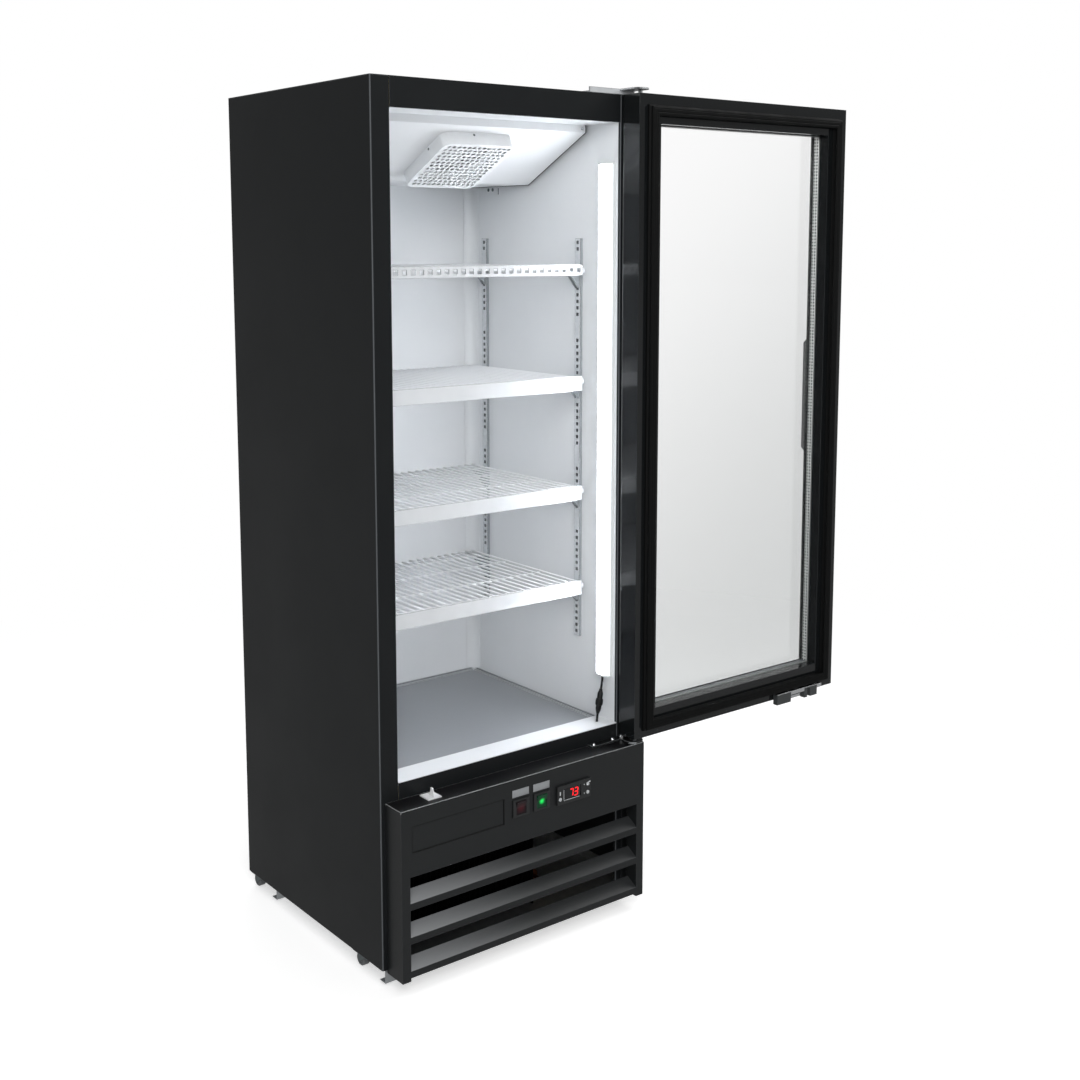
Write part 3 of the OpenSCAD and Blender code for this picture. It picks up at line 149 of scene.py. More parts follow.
def painted_edge_line(tree, shader, colour, radius, mask=None):
    """Paints a thin line along hard edges and upright folds: painted highlight where its colour
    is paler than the surface, painted shade where it is darker.

    A mask, from nought to one, keeps the line to one part of the piece.
    """
    rounded = add(tree, "ShaderNodeBevel", samples=4, fixed={"Radius": radius})
    face = add(tree, "ShaderNodeNewGeometry")
    same = add(tree, "ShaderNodeVectorMath", {0: rounded.outputs["Normal"],
                                              1: face.outputs["Normal"]},
               operation="DOT_PRODUCT")
    edge = add(tree, "ShaderNodeMapRange", {"Value": same.outputs["Value"]},
               fixed={"From Min": 0.99, "From Max": 0.85})
    parts = add(tree, "ShaderNodeSeparateXYZ", {"Vector": face.outputs["Normal"]})
    both = add(tree, "ShaderNodeMath", {0: parts.outputs["X"], 1: parts.outputs["Y"]},
               operation="MULTIPLY")
    fold = add(tree, "ShaderNodeMapRange", {"Value": both.outputs[0]},
               fixed={"From Min": 0.3, "From Max": 0.45})
    line = add(tree, "ShaderNodeMath", {0: edge.outputs["Result"], 1: fold.outputs["Result"]},
               operation="MAXIMUM")
    if mask:
        line = add(tree, "ShaderNodeMath", {0: line.outputs[0], 1: mask}, operation="MULTIPLY")
    overlay(tree, shader, line.outputs[0], colour)


def relief(tree, shader, height=None, distance=0.0, strength=1.0, edge=0.0):
    """Bumps the surface by a height and rounds its hard edges by a radius in metres."""
    links = {}
    if edge:
        links["Normal"] = add(tree, "ShaderNodeBevel", samples=4,
                              fixed={"Radius": edge}).outputs["Normal"]
    if height is None:
        tree.links.new(links["Normal"], shader.inputs["Normal"])
        return
    links["Height"] = height
    bump = add(tree, "ShaderNodeBump", links,
               fixed={"Distance": distance, "Strength": strength})
    tree.links.new(bump.outputs["Normal"], shader.inputs["Normal"])


# Finishes

MATERIALS = {}


def powder_coat(name, low, high, roughness, gloss=0.25, glint="#56595c", edge=0.0012):
    """Black powder coat on folded steel: a fine orange peel that breaks up its soft gloss."""
    material, tree, shader = finish_material(name, high, roughness, Specular_IOR_Level=gloss)
    mottle(tree, shader, low, high, 6.0, (roughness - 0.04, roughness + 0.05))
    # Orange peel of powder coat is about 0.7 mm across
    peel = add(tree, "ShaderNodeTexNoise", {"Vector": object_place(tree)},
               fixed={"Scale": 1400.0, "Detail": 2.0})
    relief(tree, shader, peel.outputs["Fac"], 0.00006, 0.6, edge)
    # A paler line of painted highlight runs along the edges and folds
    if glint:
        painted_edge_line(tree, shader, glint, edge)
    return material


def louvered_coat(name, low, high, blade_light, roughness):
    """Powder coat of the grille, with painted highlight on its slanted blades and ledge edge, and
    painted shade on its ledge and round its recess.
    """
    material = powder_coat(name, low, high, roughness, 0.3, "#3c3f42")
    tree = material.node_tree
    shader = tree.nodes["Principled BSDF"]
    # The slanted blades get a painted highlight, for the light that they catch and the upright
    # face does not
    face = add(tree, "ShaderNodeNewGeometry")
    parts = add(tree, "ShaderNodeSeparateXYZ", {"Vector": face.outputs["True Normal"]})
    # Only the blades' upper faces lean back by a third of a right angle
    slanted = add(tree, "ShaderNodeMath", {0: parts.outputs["Z"]}, {1: 0.86, 2: 0.08},
                  operation="COMPARE")
    # The painted highlight on the blades fades from the panel's left end to its right end
    place = add(tree, "ShaderNodeSeparateXYZ", {"Vector": object_place(tree)})
    along = add(tree, "ShaderNodeMapRange", {"Value": place.outputs["X"]},
                interpolation_type="SMOOTHSTEP",
                fixed={"From Min": -0.34, "From Max": 0.06, "To Min": 1.0, "To Max": 0.08})
    painted_blade_light = add(tree, "ShaderNodeMath", {0: slanted.outputs[0], 1: along.outputs["Result"]},
               operation="MULTIPLY")
    overlay(tree, shader, painted_blade_light.outputs[0], blade_light)
    # The ledge's upward face is painted near black: painted shade
    ledge = add(tree, "ShaderNodeMath", {0: parts.outputs["Z"]}, {1: 1.0, 2: 0.01},
                operation="COMPARE")
    overlay(tree, shader, ledge.outputs[0], "#040405")
    # The ledge's front edge catches the light as a bright line
    crest = add(tree, "ShaderNodeMath", {0: place.outputs["Z"]}, {1: LEDGE - 0.004},
                operation="GREATER_THAN")
    painted_edge_line(tree, shader, "#dcdfe1", 0.0018, crest.outputs[0])
    # A shadow line runs round the bare recess; it is drawn 2 mm wide to show
    offset = add(tree, "ShaderNodeVectorMath", {0: object_place(tree)}, {1: RECESS_MIDDLE},
                 operation="SUBTRACT")
    folded = add(tree, "ShaderNodeVectorMath", {0: offset.outputs["Vector"]},
                 operation="ABSOLUTE")
    beyond = add(tree, "ShaderNodeVectorMath", {0: folded.outputs["Vector"]}, {1: RECESS_HALF},
                 operation="SUBTRACT")
    sides = add(tree, "ShaderNodeSeparateXYZ", {"Vector": beyond.outputs["Vector"]})
    outside = add(tree, "ShaderNodeMath", {0: sides.outputs["X"], 1: sides.outputs["Z"]},
                  operation="MAXIMUM")
    rim = add(tree, "ShaderNodeMath", {0: outside.outputs[0]}, {1: 0.0, 2: 0.001},
              operation="COMPARE")
    overlay(tree, shader, rim.outputs[0], "#050606")
    return material


def gloss_lacquer(name, colour):
    """Gloss lacquer on an aluminium extrusion: nearly a mirror, with a slow waviness."""
    material, tree, shader = finish_material(name, colour, 0.1, Specular_IOR_Level=0.4)
    # Waves of the lacquer are about 60 mm long
    wave = add(tree, "ShaderNodeTexNoise", {"Vector": object_place(tree)},
               fixed={"Scale": 16.0, "Detail": 1.0})
    relief(tree, shader, wave.outputs["Fac"], 0.0004, 0.25, 0.001)
    # A paler line of painted highlight runs along the edges
    painted_edge_line(tree, shader, "#34373a", 0.001)
    return material


def white_enamel(name, low, high, roughness=0.32):
    """White baked enamel on thin sheet: clean, softly glossy, slightly uneven in tone."""
    material, tree, shader = finish_material(name, high, roughness)
    mottle(tree, shader, low, high, 9.0, (roughness - 0.02, roughness + 0.03), 5.0)
    # Its orange peel is about 1.1 mm across
    peel = add(tree, "ShaderNodeTexNoise", {"Vector": object_place(tree)},
               fixed={"Scale": 900.0, "Detail": 2.0})
    relief(tree, shader, peel.outputs["Fac"], 0.00004, 0.5, 0.0008)
    return material


def moulded_plastic(name, low, high, roughness, scale=2600.0, distance=0.00005, line=None):
    """Injection moulded plastic: an even colour with a fine spark-eroded grain."""
    material, tree, shader = finish_material(name, high, roughness, IOR=1.53)
    mottle(tree, shader, low, high, 40.0, (roughness - 0.05, roughness + 0.05))
    # The grain is 0.4 mm across, drawn a little coarser than the real one to show
    grain = add(tree, "ShaderNodeTexNoise", {"Vector": object_place(tree)},
                fixed={"Scale": scale, "Detail": 1.0})
    relief(tree, shader, grain.outputs["Fac"], distance, 0.6, 0.0006)
    # A dark line of painted shade runs along the edges
    if line:
        painted_edge_line(tree, shader, line, 0.0018)
    return material


def zinc_coat(name, low, high, roughness, spangle=90.0, metallic=0.9, edge=None, sides=None):
    """Galvanised or zinc plated steel: metal with faint crystal patches, and where asked, painted
    shade along its edges and on its side walls.
    """
    material, tree, shader = finish_material(name, high, roughness, metallic)
    # Crystal patches are 7 to 17 mm across
    cells = add(tree, "ShaderNodeTexVoronoi", {"Vector": object_place(tree)},
                fixed={"Scale": spangle})
    two_tones(tree, shader, cells.outputs["Color"], low, high)
    rough = add(tree, "ShaderNodeMapRange", {"Value": cells.outputs["Distance"]},
                fixed={"To Min": roughness - 0.03, "To Max": roughness + 0.05})
    tree.links.new(rough.outputs["Result"], shader.inputs["Roughness"])
    relief(tree, shader, edge=0.0005)
    if sides:
        # The side walls of a rolled strip get painted shade, darker than its face
        face = add(tree, "ShaderNodeNewGeometry")
        parts = add(tree, "ShaderNodeSeparateXYZ", {"Vector": face.outputs["True Normal"]})
        across = add(tree, "ShaderNodeMath", {0: parts.outputs["Y"]}, operation="ABSOLUTE")
        overlay(tree, shader, across.outputs[0], sides)
    # A dark line of painted shade runs along the edges
    if edge:
        painted_edge_line(tree, shader, edge, 0.0014)
    return material


def brushed_metal(name, low, high, roughness, stretch, metallic=1.0, edge=None):
    """Rolled or brushed metal: thin streaks that run along the part."""
    material, tree, shader = finish_material(name, high, roughness, metallic)
    # The streaks are about 17 mm long, and as much thinner across as stretch says
    streaks = mottle(tree, shader, low, high, 60.0, (roughness - 0.07, roughness + 0.1), 4.0,
                     object_place(tree, stretch))
    relief(tree, shader, streaks.outputs["Fac"], 0.00003, 0.4, 0.0005)
    # A pale line of painted highlight runs along the edges
    if edge:
        painted_edge_line(tree, shader, edge, 0.0016)
    return material


def soft_rubber(name, low, high, roughness, gloss=0.3):
    """Extruded soft PVC: satin and slightly uneven, with a fine grain."""
    material, tree, shader = finish_material(name, high, roughness, Specular_IOR_Level=gloss)
    mottle(tree, shader, low, high, 22.0, (roughness - 0.08, roughness + 0.08))
    # The grain is about 0.6 mm across
    grain = add(tree, "ShaderNodeTexNoise", {"Vector": object_place(tree)},
                fixed={"Scale": 1800.0, "Detail": 1.0})
    relief(tree, shader, grain.outputs["Fac"], 0.00005, 0.5, 0.0005)
    return material


def float_glass(name):
    """Float glass: sharp reflections, and a grey tint of painted shade that deepens down the
    pane.
    """
    material, tree, shader = finish_material(name, "#f4f7f7", 0.0, IOR=1.5,
                                             Transmission_Weight=1.0)
    # The painted shade runs on a slant from clear at the hinge's top to grey at the free edge's
    # foot
    place = add(tree, "ShaderNodeTexCoord")
    slant = add(tree, "ShaderNodeVectorMath", {0: place.outputs["Object"]},
                {1: (0.55, 0.0, -0.835)}, operation="DOT_PRODUCT")
    depth = add(tree, "ShaderNodeMapRange", {"Value": slant.outputs["Value"]},
                interpolation_type="SMOOTHSTEP", fixed={"From Min": -1.15, "From Max": 0.0})
    two_tones(tree, shader, depth.outputs["Result"], "#ffffff", "#e8e9e9")
    # A flat pane lets a lamp's light straight through, so it casts hardly any shadow
    straight = add(tree, "ShaderNodeBsdfTransparent", fixed={"Color": linear("#eef2f2")})
    path = add(tree, "ShaderNodeLightPath")
    lit = add(tree, "ShaderNodeMixShader", {0: path.outputs["Is Shadow Ray"],
                                            1: shader.outputs["BSDF"],
                                            2: straight.outputs["BSDF"]})
    tree.links.new(lit.outputs["Shader"], tree.nodes["Material Output"].inputs["Surface"])
    return material


def smoked_acrylic(name):
    """Smoked acrylic window: dark, glossy, a little brighter where it catches light."""
    material, tree, shader = finish_material(name, "#141617", 0.08, IOR=1.49)
    mottle(tree, shader, "#0e1011", "#1b1d1f", 30.0, (0.06, 0.14))
    return material


def lit_plastic(name, base, glow, strength):
    """Translucent plastic that is lit from behind, with an even glow."""
    material, tree, shader = finish_material(name, base, 0.3)
    shader.inputs["Emission Color"].default_value = linear(glow)
    shader.inputs["Emission Strength"].default_value = strength
    noise = add(tree, "ShaderNodeTexNoise", {"Vector": object_place(tree)},
                fixed={"Scale": 500.0, "Detail": 1.0})
    relief(tree, shader, noise.outputs["Fac"], 0.00003, 0.4, 0.0004)
    return material


def lamp_lens(name, middle, pitch, strength):
    """Extruded opal lens over a row of lamps: a bright core that swells at each lamp."""
    material, tree, shader = finish_material(name, "#e4eaec", 0.35)
    place = add(tree, "ShaderNodeSeparateXYZ", {"Vector": object_place(tree)})
    # Distance from the nearest lamp: its part along Z comes round once every pitch
    half_turn = add(tree, "ShaderNodeMath", {0: place.outputs["Z"]}, {1: math.pi / pitch},
                    operation="MULTIPLY")
    wave = add(tree, "ShaderNodeMath", {0: half_turn.outputs[0]}, operation="SINE")
    along = add(tree, "ShaderNodeMath", {0: wave.outputs[0]}, {1: LAMP_SWELL},
                operation="MULTIPLY")
    across = add(tree, "ShaderNodeMath", {0: place.outputs["Y"]}, {1: middle},
                 operation="SUBTRACT")
    offset = add(tree, "ShaderNodeCombineXYZ", {"X": across.outputs[0], "Y": along.outputs[0]})
    away = add(tree, "ShaderNodeVectorMath", {0: offset.outputs["Vector"]}, operation="LENGTH")
    spot = add(tree, "ShaderNodeMapRange", {"Value": away.outputs["Value"]},
               interpolation_type="SMOOTHSTEP",
               fixed={"From Min": 0.006, "From Max": 0.012, "To Min": strength,
                      "To Max": 2.5})
    shader.inputs["Emission Color"].default_value = linear("#f4f8ff")
    tree.links.new(spot.outputs["Result"], shader.inputs["Emission Strength"])
    return material


def rocker_plastic(name, centre, low, high, glow, strength, reach):
    """Translucent rocker: a lamp behind it lights its middle and fades to its edges."""
    material, tree, shader = finish_material(name, low, 0.3, Specular_IOR_Level=0.3)
    place = add(tree, "ShaderNodeTexCoord")
    local = add(tree, "ShaderNodeVectorMath", {0: place.outputs["Object"]}, {1: centre},
                operation="SUBTRACT")
    flat = add(tree, "ShaderNodeVectorMath", {0: local.outputs["Vector"]}, {1: (1, 0, 1)},
               operation="MULTIPLY")
    away = add(tree, "ShaderNodeVectorMath", {0: flat.outputs["Vector"]}, operation="LENGTH")
    fade = add(tree, "ShaderNodeMapRange", {"Value": away.outputs["Value"]},
               interpolation_type="SMOOTHERSTEP",
               fixed={"From Min": 0.0, "From Max": reach, "To Min": 1.0, "To Max": 0.0})
    # The base colour is painted paler towards the middle: painted light from the lamp behind,
    # painted in even where the lamp's strength is nought
    two_tones(tree, shader, fade.outputs["Result"], low, high)
    shader.inputs["Emission Color"].default_value = linear(glow)
    power = add(tree, "ShaderNodeMath", {0: fade.outputs["Result"]}, {1: strength},
                operation="MULTIPLY")
    tree.links.new(power.outputs[0], shader.inputs["Emission Strength"])
    relief(tree, shader, edge=0.0006)
    return material


def make_finishes(cabinet):
    """Makes each named finish once, the cabinet's own from its settings."""
    s = MATERIALS
    # Powder coat, lacquer and enamel on sheet
    s["cabinet"] = powder_coat("Powder coat black", cabinet.coat_shade, cabinet.coat, 0.38, 0.15,
                               edge=cabinet.edge_round)
    s["grille"] = louvered_coat("Powder coat charcoal", cabinet.grille_shade, cabinet.grille,
                                cabinet.blade_highlight, 0.38)
    s["steel_black"] = powder_coat("Powder coat black fine", "#090a0a", "#0d0e0e", 0.45)
    s["matt_black"] = powder_coat("Stoved black matt", "#020202", "#040404", 0.85, 0.03, None)
    s["enamel"] = white_enamel("White enamel sheet", "#dfe2e4", "#e8eaec")
    s["enamel_cover"] = white_enamel("White enamel cover", "#dfe1e3", "#e7e9ea", 0.36)
    s["coated_wire"] = white_enamel("White coated wire", "#eef0f2", "#f6f7f8", 0.3)
    s["door"] = gloss_lacquer("Gloss lacquer black", "#141617")
    s["cast"] = powder_coat("Stoved black shell", "#131415", "#1c1d1e", 0.3)
    # The hinge's edges carry a bright line of painted highlight
    s["hinge_black"] = powder_coat("Powder coat black hinge", "#0b0c0c", "#101111", 0.3, 0.3,
                                   "#a2a6a8", 0.001)
    # Plated and bare metal
    # The tray's rims get a pale line of painted highlight
    s["tray"] = brushed_metal("Grey coated tray", "#888b8e", "#999c9f", 0.42, (1, 40, 40), 0.25,
                              "#e4e7e9")
    # The standards get painted shade along their edges and on their side walls
    s["standard"] = zinc_coat("Zinc plated strip", "#ccd0d3", "#dfe2e5", 0.42, 140.0, 0.15,
                              "#2c2f31", "#979c9f")
    s["worn"] = zinc_coat("Zinc plated steel dull", "#646c6e", "#7b8284", 0.45)
    s["bright"] = zinc_coat("Nickel plated steel", "#e6e7e8", "#f6f6f6", 0.3, 60.0, 0.1)
    # The hinge plate gets a dark line of painted shade along its edges
    s["hinge"] = zinc_coat("Zinc plated hinge plate", "#c2c5c8", "#d3d6d8", 0.35, 60.0, 0.3,
                           "#2a2c2e")
    s["galvanised"] = zinc_coat("Galvanised sheet", "#a4a8aa", "#b0b3b6", 0.42, 70.0)
    s["chrome"] = brushed_metal("Polished steel", "#c8cacc", "#dcdee0", 0.16, (1, 1, 1))
    s["aluminium"] = brushed_metal("Rolled aluminium", "#a9acae", "#c3c6c8", 0.3, (1, 1, 30))
    s["copper"] = brushed_metal("Darkened copper", "#54301f", "#7a4a31", 0.4, (1, 1, 1))
    # Plastics, rubber and glass
    # The price strips get a dark line of painted shade along their edges
    s["strip"] = moulded_plastic("White PVC strip", "#c6c9cb", "#cfd1d3", 0.35, line="#4a5053")
    s["guard"] = moulded_plastic("White ABS guard", "#e4e6e8", "#eceeef", 0.42)
    s["channel"] = moulded_plastic("PVC channel grey white", "#dbe0e1", "#e5e9e9", 0.45)
    s["handle"] = moulded_plastic("ABS black handle", "#232526", "#2d2f30", 0.4)
    s["plastic"] = moulded_plastic("ABS black", "#161718", "#1d1f20", 0.42)
    s["block"] = moulded_plastic("ABS dark grey", "#2d3031", "#3a3d3e", 0.5)
    s["nylon"] = moulded_plastic("Nylon grey", "#5b5d5f", "#6d7072", 0.5)
    s["silver"] = moulded_plastic("ABS silver", "#a5a8aa", "#b7babc", 0.35)
    # The foam's pores are about 3 mm across
    s["foam"] = moulded_plastic("Polyurethane foam", "#cfc08c", "#ddd0a0", 0.9, 300.0, 0.0008)
    s["gasket"] = soft_rubber("Gasket PVC", "#060707", "#0a0b0b", 0.62, 0.12)
    s["cable"] = soft_rubber("Cable PVC", "#020303", "#050606", 0.5)
    s["glass"] = float_glass("Float glass")


# Mesh helpers

def build(name, points, faces, material, body, slot, replaces=(), smooth=True):
    """Puts points and faces into a new mesh that rides on a body."""
    mesh = bpy.data.meshes.new(name)
    listed = faces.tolist() if isinstance(faces, np.ndarray) else faces
    mesh.from_pydata(np.asarray(points, float).tolist(), [], listed)
    mesh.validate()
    if smooth:
        mesh.shade_smooth()
    piece = bpy.data.objects.new(name, mesh)
    bpy.context.scene.collection.objects.link(piece)
    piece.data.materials.append(MATERIALS[material])
    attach(piece, body)
    if replaces:
        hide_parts(*replaces)
    return piece


def quads(rows, cols, wrap_rows=False, wrap_cols=False):
    """Faces of a grid of rows by cols points, closed round either way."""
    i = np.arange(rows if wrap_rows else rows - 1)[:, None]
    j = np.arange(cols if wrap_cols else cols - 1)[None, :]
    a = i * cols + j
    b = i * cols + (j + 1) % cols
    c = (i + 1) % rows * cols + (j + 1) % cols
    d = (i + 1) % rows * cols + j
    return np.stack([a, b, c, d], -1).reshape(-1, 4)


def join(parts):
    """Joins (points, faces) pairs into one, each pair's faces moved past the points before."""
    points, faces, count = [], [], 0
    for p, f in parts:
        points.append(p)
        listed = f.tolist() if isinstance(f, np.ndarray) else f
        faces += [[v + count for v in face] for face in listed]
        count += len(p)
    return np.concatenate(points), faces


def tube(path, radius, sides=12):
    """A round tube: each ring is centre + r (cos a U + sin a V), square to the path.

    U is the cross product of the path's direction with one fixed direction, so the
    rings don't twist. The two ends are closed by a ring of no radius.
    """
    path = np.asarray(path, float)
    radii = np.broadcast_to(radius, len(path)).astype(float)
    step = np.gradient(path, axis=0)
    step /= np.linalg.norm(step, axis=1, keepdims=True)
    spread = np.abs(step).sum(0)
    fixed = np.eye(3)[int(np.argmin(spread))]
    u = np.cross(step, fixed)
    u /= np.linalg.norm(u, axis=1, keepdims=True)
    v = np.cross(step, u)
    path = np.concatenate([path[:1], path, path[-1:]])
    radii = np.concatenate([[0.00001], radii, [0.00001]])
    u = np.concatenate([u[:1], u, u[-1:]])
    v = np.concatenate([v[:1], v, v[-1:]])
    a = np.linspace(0, 2 * math.pi, sides, endpoint=False)[None, :, None]
    ring = np.cos(a) * u[:, None] + np.sin(a) * v[:, None]
    points = path[:, None] + radii[:, None, None] * ring
    return points.reshape(-1, 3), quads(len(path), sides, wrap_cols=True)


def bar(start, end, radius):
    """A straight round bar from one point to another."""
    return tube(np.linspace(start, end, 9), radius, 10)


def turned(profile, origin, axis, sides=32):
    """A turned shape: (radius, height) points swept round an axis from an origin."""
    profile = np.asarray(profile, float)
    axis = np.asarray(axis, float) / np.linalg.norm(axis)
    other = np.eye(3)[int(np.argmin(np.abs(axis)))]
    u = np.cross(axis, other)
    u /= np.linalg.norm(u)
    v = np.cross(axis, u)
    a = np.linspace(0, 2 * math.pi, sides, endpoint=False)[None, :, None]
    ring = np.cos(a) * u + np.sin(a) * v
    points = (np.asarray(origin) + profile[:, 1][:, None, None] * axis
              + profile[:, 0][:, None, None] * ring)
    return points.reshape(-1, 3), quads(len(profile), sides, wrap_cols=True)


def soft_block(low, high, radius, rings=12):
    """A block with rounded edges: centre + sign(n) (half - r) + r n over all directions n.

    n runs over a sphere of rings by twice rings points that skips the eight
    directions where a sign would be nought.
    """
    low, high = np.asarray(low, float), np.asarray(high, float)
    half = (high - low) / 2
    r = min(radius, half.min() * 0.98)
    t = (np.arange(rings) + 0.5) / rings * math.pi
    a = (np.arange(2 * rings) + 0.5) / (2 * rings) * 2 * math.pi
    t, a = t[:, None], a[None, :]
    n = np.stack([np.sin(t) * np.cos(a), np.sin(t) * np.sin(a), np.cos(t) + 0 * a], -1)
    points = (low + high) / 2 + np.sign(n) * (half - r) + r * n
    points = points.reshape(-1, 3)
    cols = 2 * rings
    faces = quads(rings, cols, wrap_cols=True).tolist()
    faces += [list(range(cols)), list(range((rings - 1) * cols, rings * cols))[::-1]]
    return points, [face[::-1] for face in faces]


def thin_plate(near):
    """A plate 0.1 mm thick, as printed: a flat outline and its copy further back."""
    n = len(near)
    faces = [list(range(n)), list(range(n, 2 * n))[::-1]]
    faces += [[i, i + n, (i + 1) % n + n, (i + 1) % n] for i in range(n)]
    return np.concatenate([near, near + (0, 0.0001, 0)]), faces


def upright(outline, low, high):
    """An upright bar: a closed (x, y) outline carried from one height to another."""
    outline = np.asarray(outline, float)
    n = len(outline)
    points = np.concatenate([np.column_stack([outline, np.full(n, z)]) for z in (low, high)])
    return points, quads(2, n, wrap_cols=True).tolist() + [list(range(n)),
                                                           list(range(n, 2 * n))]


def frame_ring(profile, low, high):
    """A mitred frame in a plane of X and Z: a (inwards, y) profile carried round its corners.

    At each corner the profile's first value moves the point towards the middle along
    both X and Z, which is what a mitre does.
    """
    profile = np.asarray(profile, float)
    corners = np.array([[low[0], low[1], 1, 1], [high[0], low[1], -1, 1],
                        [high[0], high[1], -1, -1], [low[0], high[1], 1, -1]])
    inward = profile[None, :, 0]
    x = corners[:, 0, None] + corners[:, 2, None] * inward
    z = corners[:, 1, None] + corners[:, 3, None] * inward
    y = np.broadcast_to(profile[None, :, 1], x.shape)
    points = np.stack([x, y, z], -1).reshape(-1, 3)
    return points, quads(4, len(profile), wrap_rows=True, wrap_cols=True)


def recalculated(piece):
    """Turns the faces of a closed piece outwards after its doubles are merged."""
    work = bmesh.new()
    work.from_mesh(piece.data)
    bmesh.ops.remove_doubles(work, verts=work.verts, dist=0.00001)
    bmesh.ops.recalc_face_normals(work, faces=work.faces)
    work.to_mesh(piece.data)
    work.free()
    return piece


def sharp(piece, degrees=35.0):
    """Keeps the edges sharper than an angle hard, and the rest smooth."""
    piece.data.set_sharp_from_angle(angle=math.radians(degrees))
    return piece


def millimetres(x, y, z):
    """A point counted in mm from the cabinet's lower left front corner, in the row frame."""
    return np.stack(np.broadcast_arrays(
        (np.asarray(x, float) - 290.0) / 1000.0,
        (np.asarray(y, float) - 258.5) / 1000.0,
        (np.asarray(z, float) + 34.0) / 1000.0), -1)


def row_height(value):
    """A height counted in mm from the side panels' lower edge, in the row frame."""
    return (value + 34.0) / 1000.0


def dress(material, *nodes):
    """Gives CAD nodes a finish."""
    for node in nodes:
        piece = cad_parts[node]
        piece.data.materials.clear()
        piece.data.materials.append(MATERIALS[material])


# Sizes and colours a user may change

class CabinetSettings(bpy.types.PropertyGroup):
    coat: StringProperty(
        name="Cabinet coat", description="Hex colour of the cabinet's powder coat",
        default="#1c1e1f")
    coat_shade: StringProperty(
        name="Cabinet shade", description="Hex colour of that coat's darker patches",
        default="#16181a")
    grille: StringProperty(
        name="Grille coat", description="Hex colour of the grille's powder coat",
        default="#1e2021")
    grille_shade: StringProperty(
        name="Grille shade", description="Hex colour of that coat's darker patches",
        default="#191b1c")
    # The painted highlight on the grille's slanted blades
    blade_highlight: StringProperty(
        name="Blade highlight", description="Hex colour of the painted highlight on the grille's blades",
        default="#8a8c8e")
    # The radius also sets the width of the painted highlight line along the folded edges
    edge_round: FloatProperty(
        name="Edge rounding", description="Radius that softens the folded edges",
        unit="LENGTH", default=0.0012, min=0.0002, max=0.004)


class ShelfSettings(bpy.types.PropertyGroup):
    wire: FloatProperty(
        name="Wire", description="Diameter of the shelf wires", unit="LENGTH",
        default=0.004, min=0.002, max=0.006)
    pitch: FloatProperty(
        name="Pitch", description="Spacing of the shelf wires", unit="LENGTH",
        default=0.018, min=0.012, max=0.03)


class LightSettings(bpy.types.PropertyGroup):
    lamp_pitch: FloatProperty(
        name="Lamp pitch", description="Spacing of the lamps behind the lens", unit="LENGTH",
        default=0.0165, min=0.005, max=0.05)
    glow: FloatProperty(
        name="Glow", description="Strength of the light bar", default=78.0, min=0.0, max=120.0)


class ControlSettings(bpy.types.PropertyGroup):
    shown: IntProperty(
        name="Shown number", description="Two-digit number on the display", default=73,
        min=0, max=99)
    digit_height: FloatProperty(
        name="Digit height", description="Height of a digit", unit="LENGTH", default=0.014,
        min=0.005, max=0.02)


class DoorSettings(bpy.types.PropertyGroup):
    gasket_width: FloatProperty(
        name="Gasket width", description="Width of the gasket's bellows", unit="LENGTH",
        default=0.02, min=0.012, max=0.026)


class StageSettings(bpy.types.PropertyGroup):
    key_power: FloatProperty(
        name="Key light", description="Power of the large key light in watts", default=118.0,
        min=0.0, max=1000.0)
    fill_power: FloatProperty(
        name="Fill light", description="Power of the fill light in watts", default=38.0,
        min=0.0, max=1000.0)


class RefrigeratorSettings(bpy.types.PropertyGroup):
    cabinet: PointerProperty(type=CabinetSettings)
    shelves: PointerProperty(type=ShelfSettings)
    light: PointerProperty(type=LightSettings)
    controls: PointerProperty(type=ControlSettings)
    door: PointerProperty(type=DoorSettings)
    stage: PointerProperty(type=StageSettings)


# Pieces

# The CAD nodes that each finish goes on
DRESSED = {
    "cabinet": ("side_panel_left", "side_panel_right", "top_panel", "lower_rail"),
    "grille": ("grille_panel",),
    "galvanised": ("rear_panel", "base_frame"),
    "steel_black": ("rear_grille",),
    "hinge_black": ("bottom_hinge",),
    "matt_black": ("condenser", "condenser_shroud"),
    "enamel": ("inner_liner", "sill_plate"),
    "enamel_cover": ("evaporator_cover",),
    "guard": ("fan_guard",),
    "channel": ("led_profile",),
    "strip": ("price_strips",),
    "tray": ("floor_tray",),
    "foam": ("insulation",),
    "standard": ("shelf_standards", "shelf_clips"),
    "worn": ("caster_plates", "fork_left", "fork_right"),
    "bright": ("catch_tab",),
    "hinge": ("top_hinge",),
    "chrome": ("screws", "lock_bracket"),
    "aluminium": ("evaporator_coil", "glass_spacer"),
    "plastic": ("fan_motors", "switch_bezels", "controller_body", "drain_pan", "cord_gland",
                "condenser_fan"),
    "cable": ("led_lead", "led_connector"),
    "block": ("lock_blocks",),
    "cast": ("compressor",),
    "copper": ("refrigerant_pipes",),
    "nylon": ("wheel_front_left", "wheel_front_right", "wheel_rear_left", "wheel_rear_right"),
    "silver": ("set_button", "up_button", "down_button", "evaporator_fan"),
    "red": ("power_rocker",),
    "green": ("light_rocker",),
    "lens": ("led_lens",),
    "door": ("door_frame",),
    "handle": ("door_handle",),
    "gasket": ("door_gasket",),
    "glass": ("door_glass",),
}


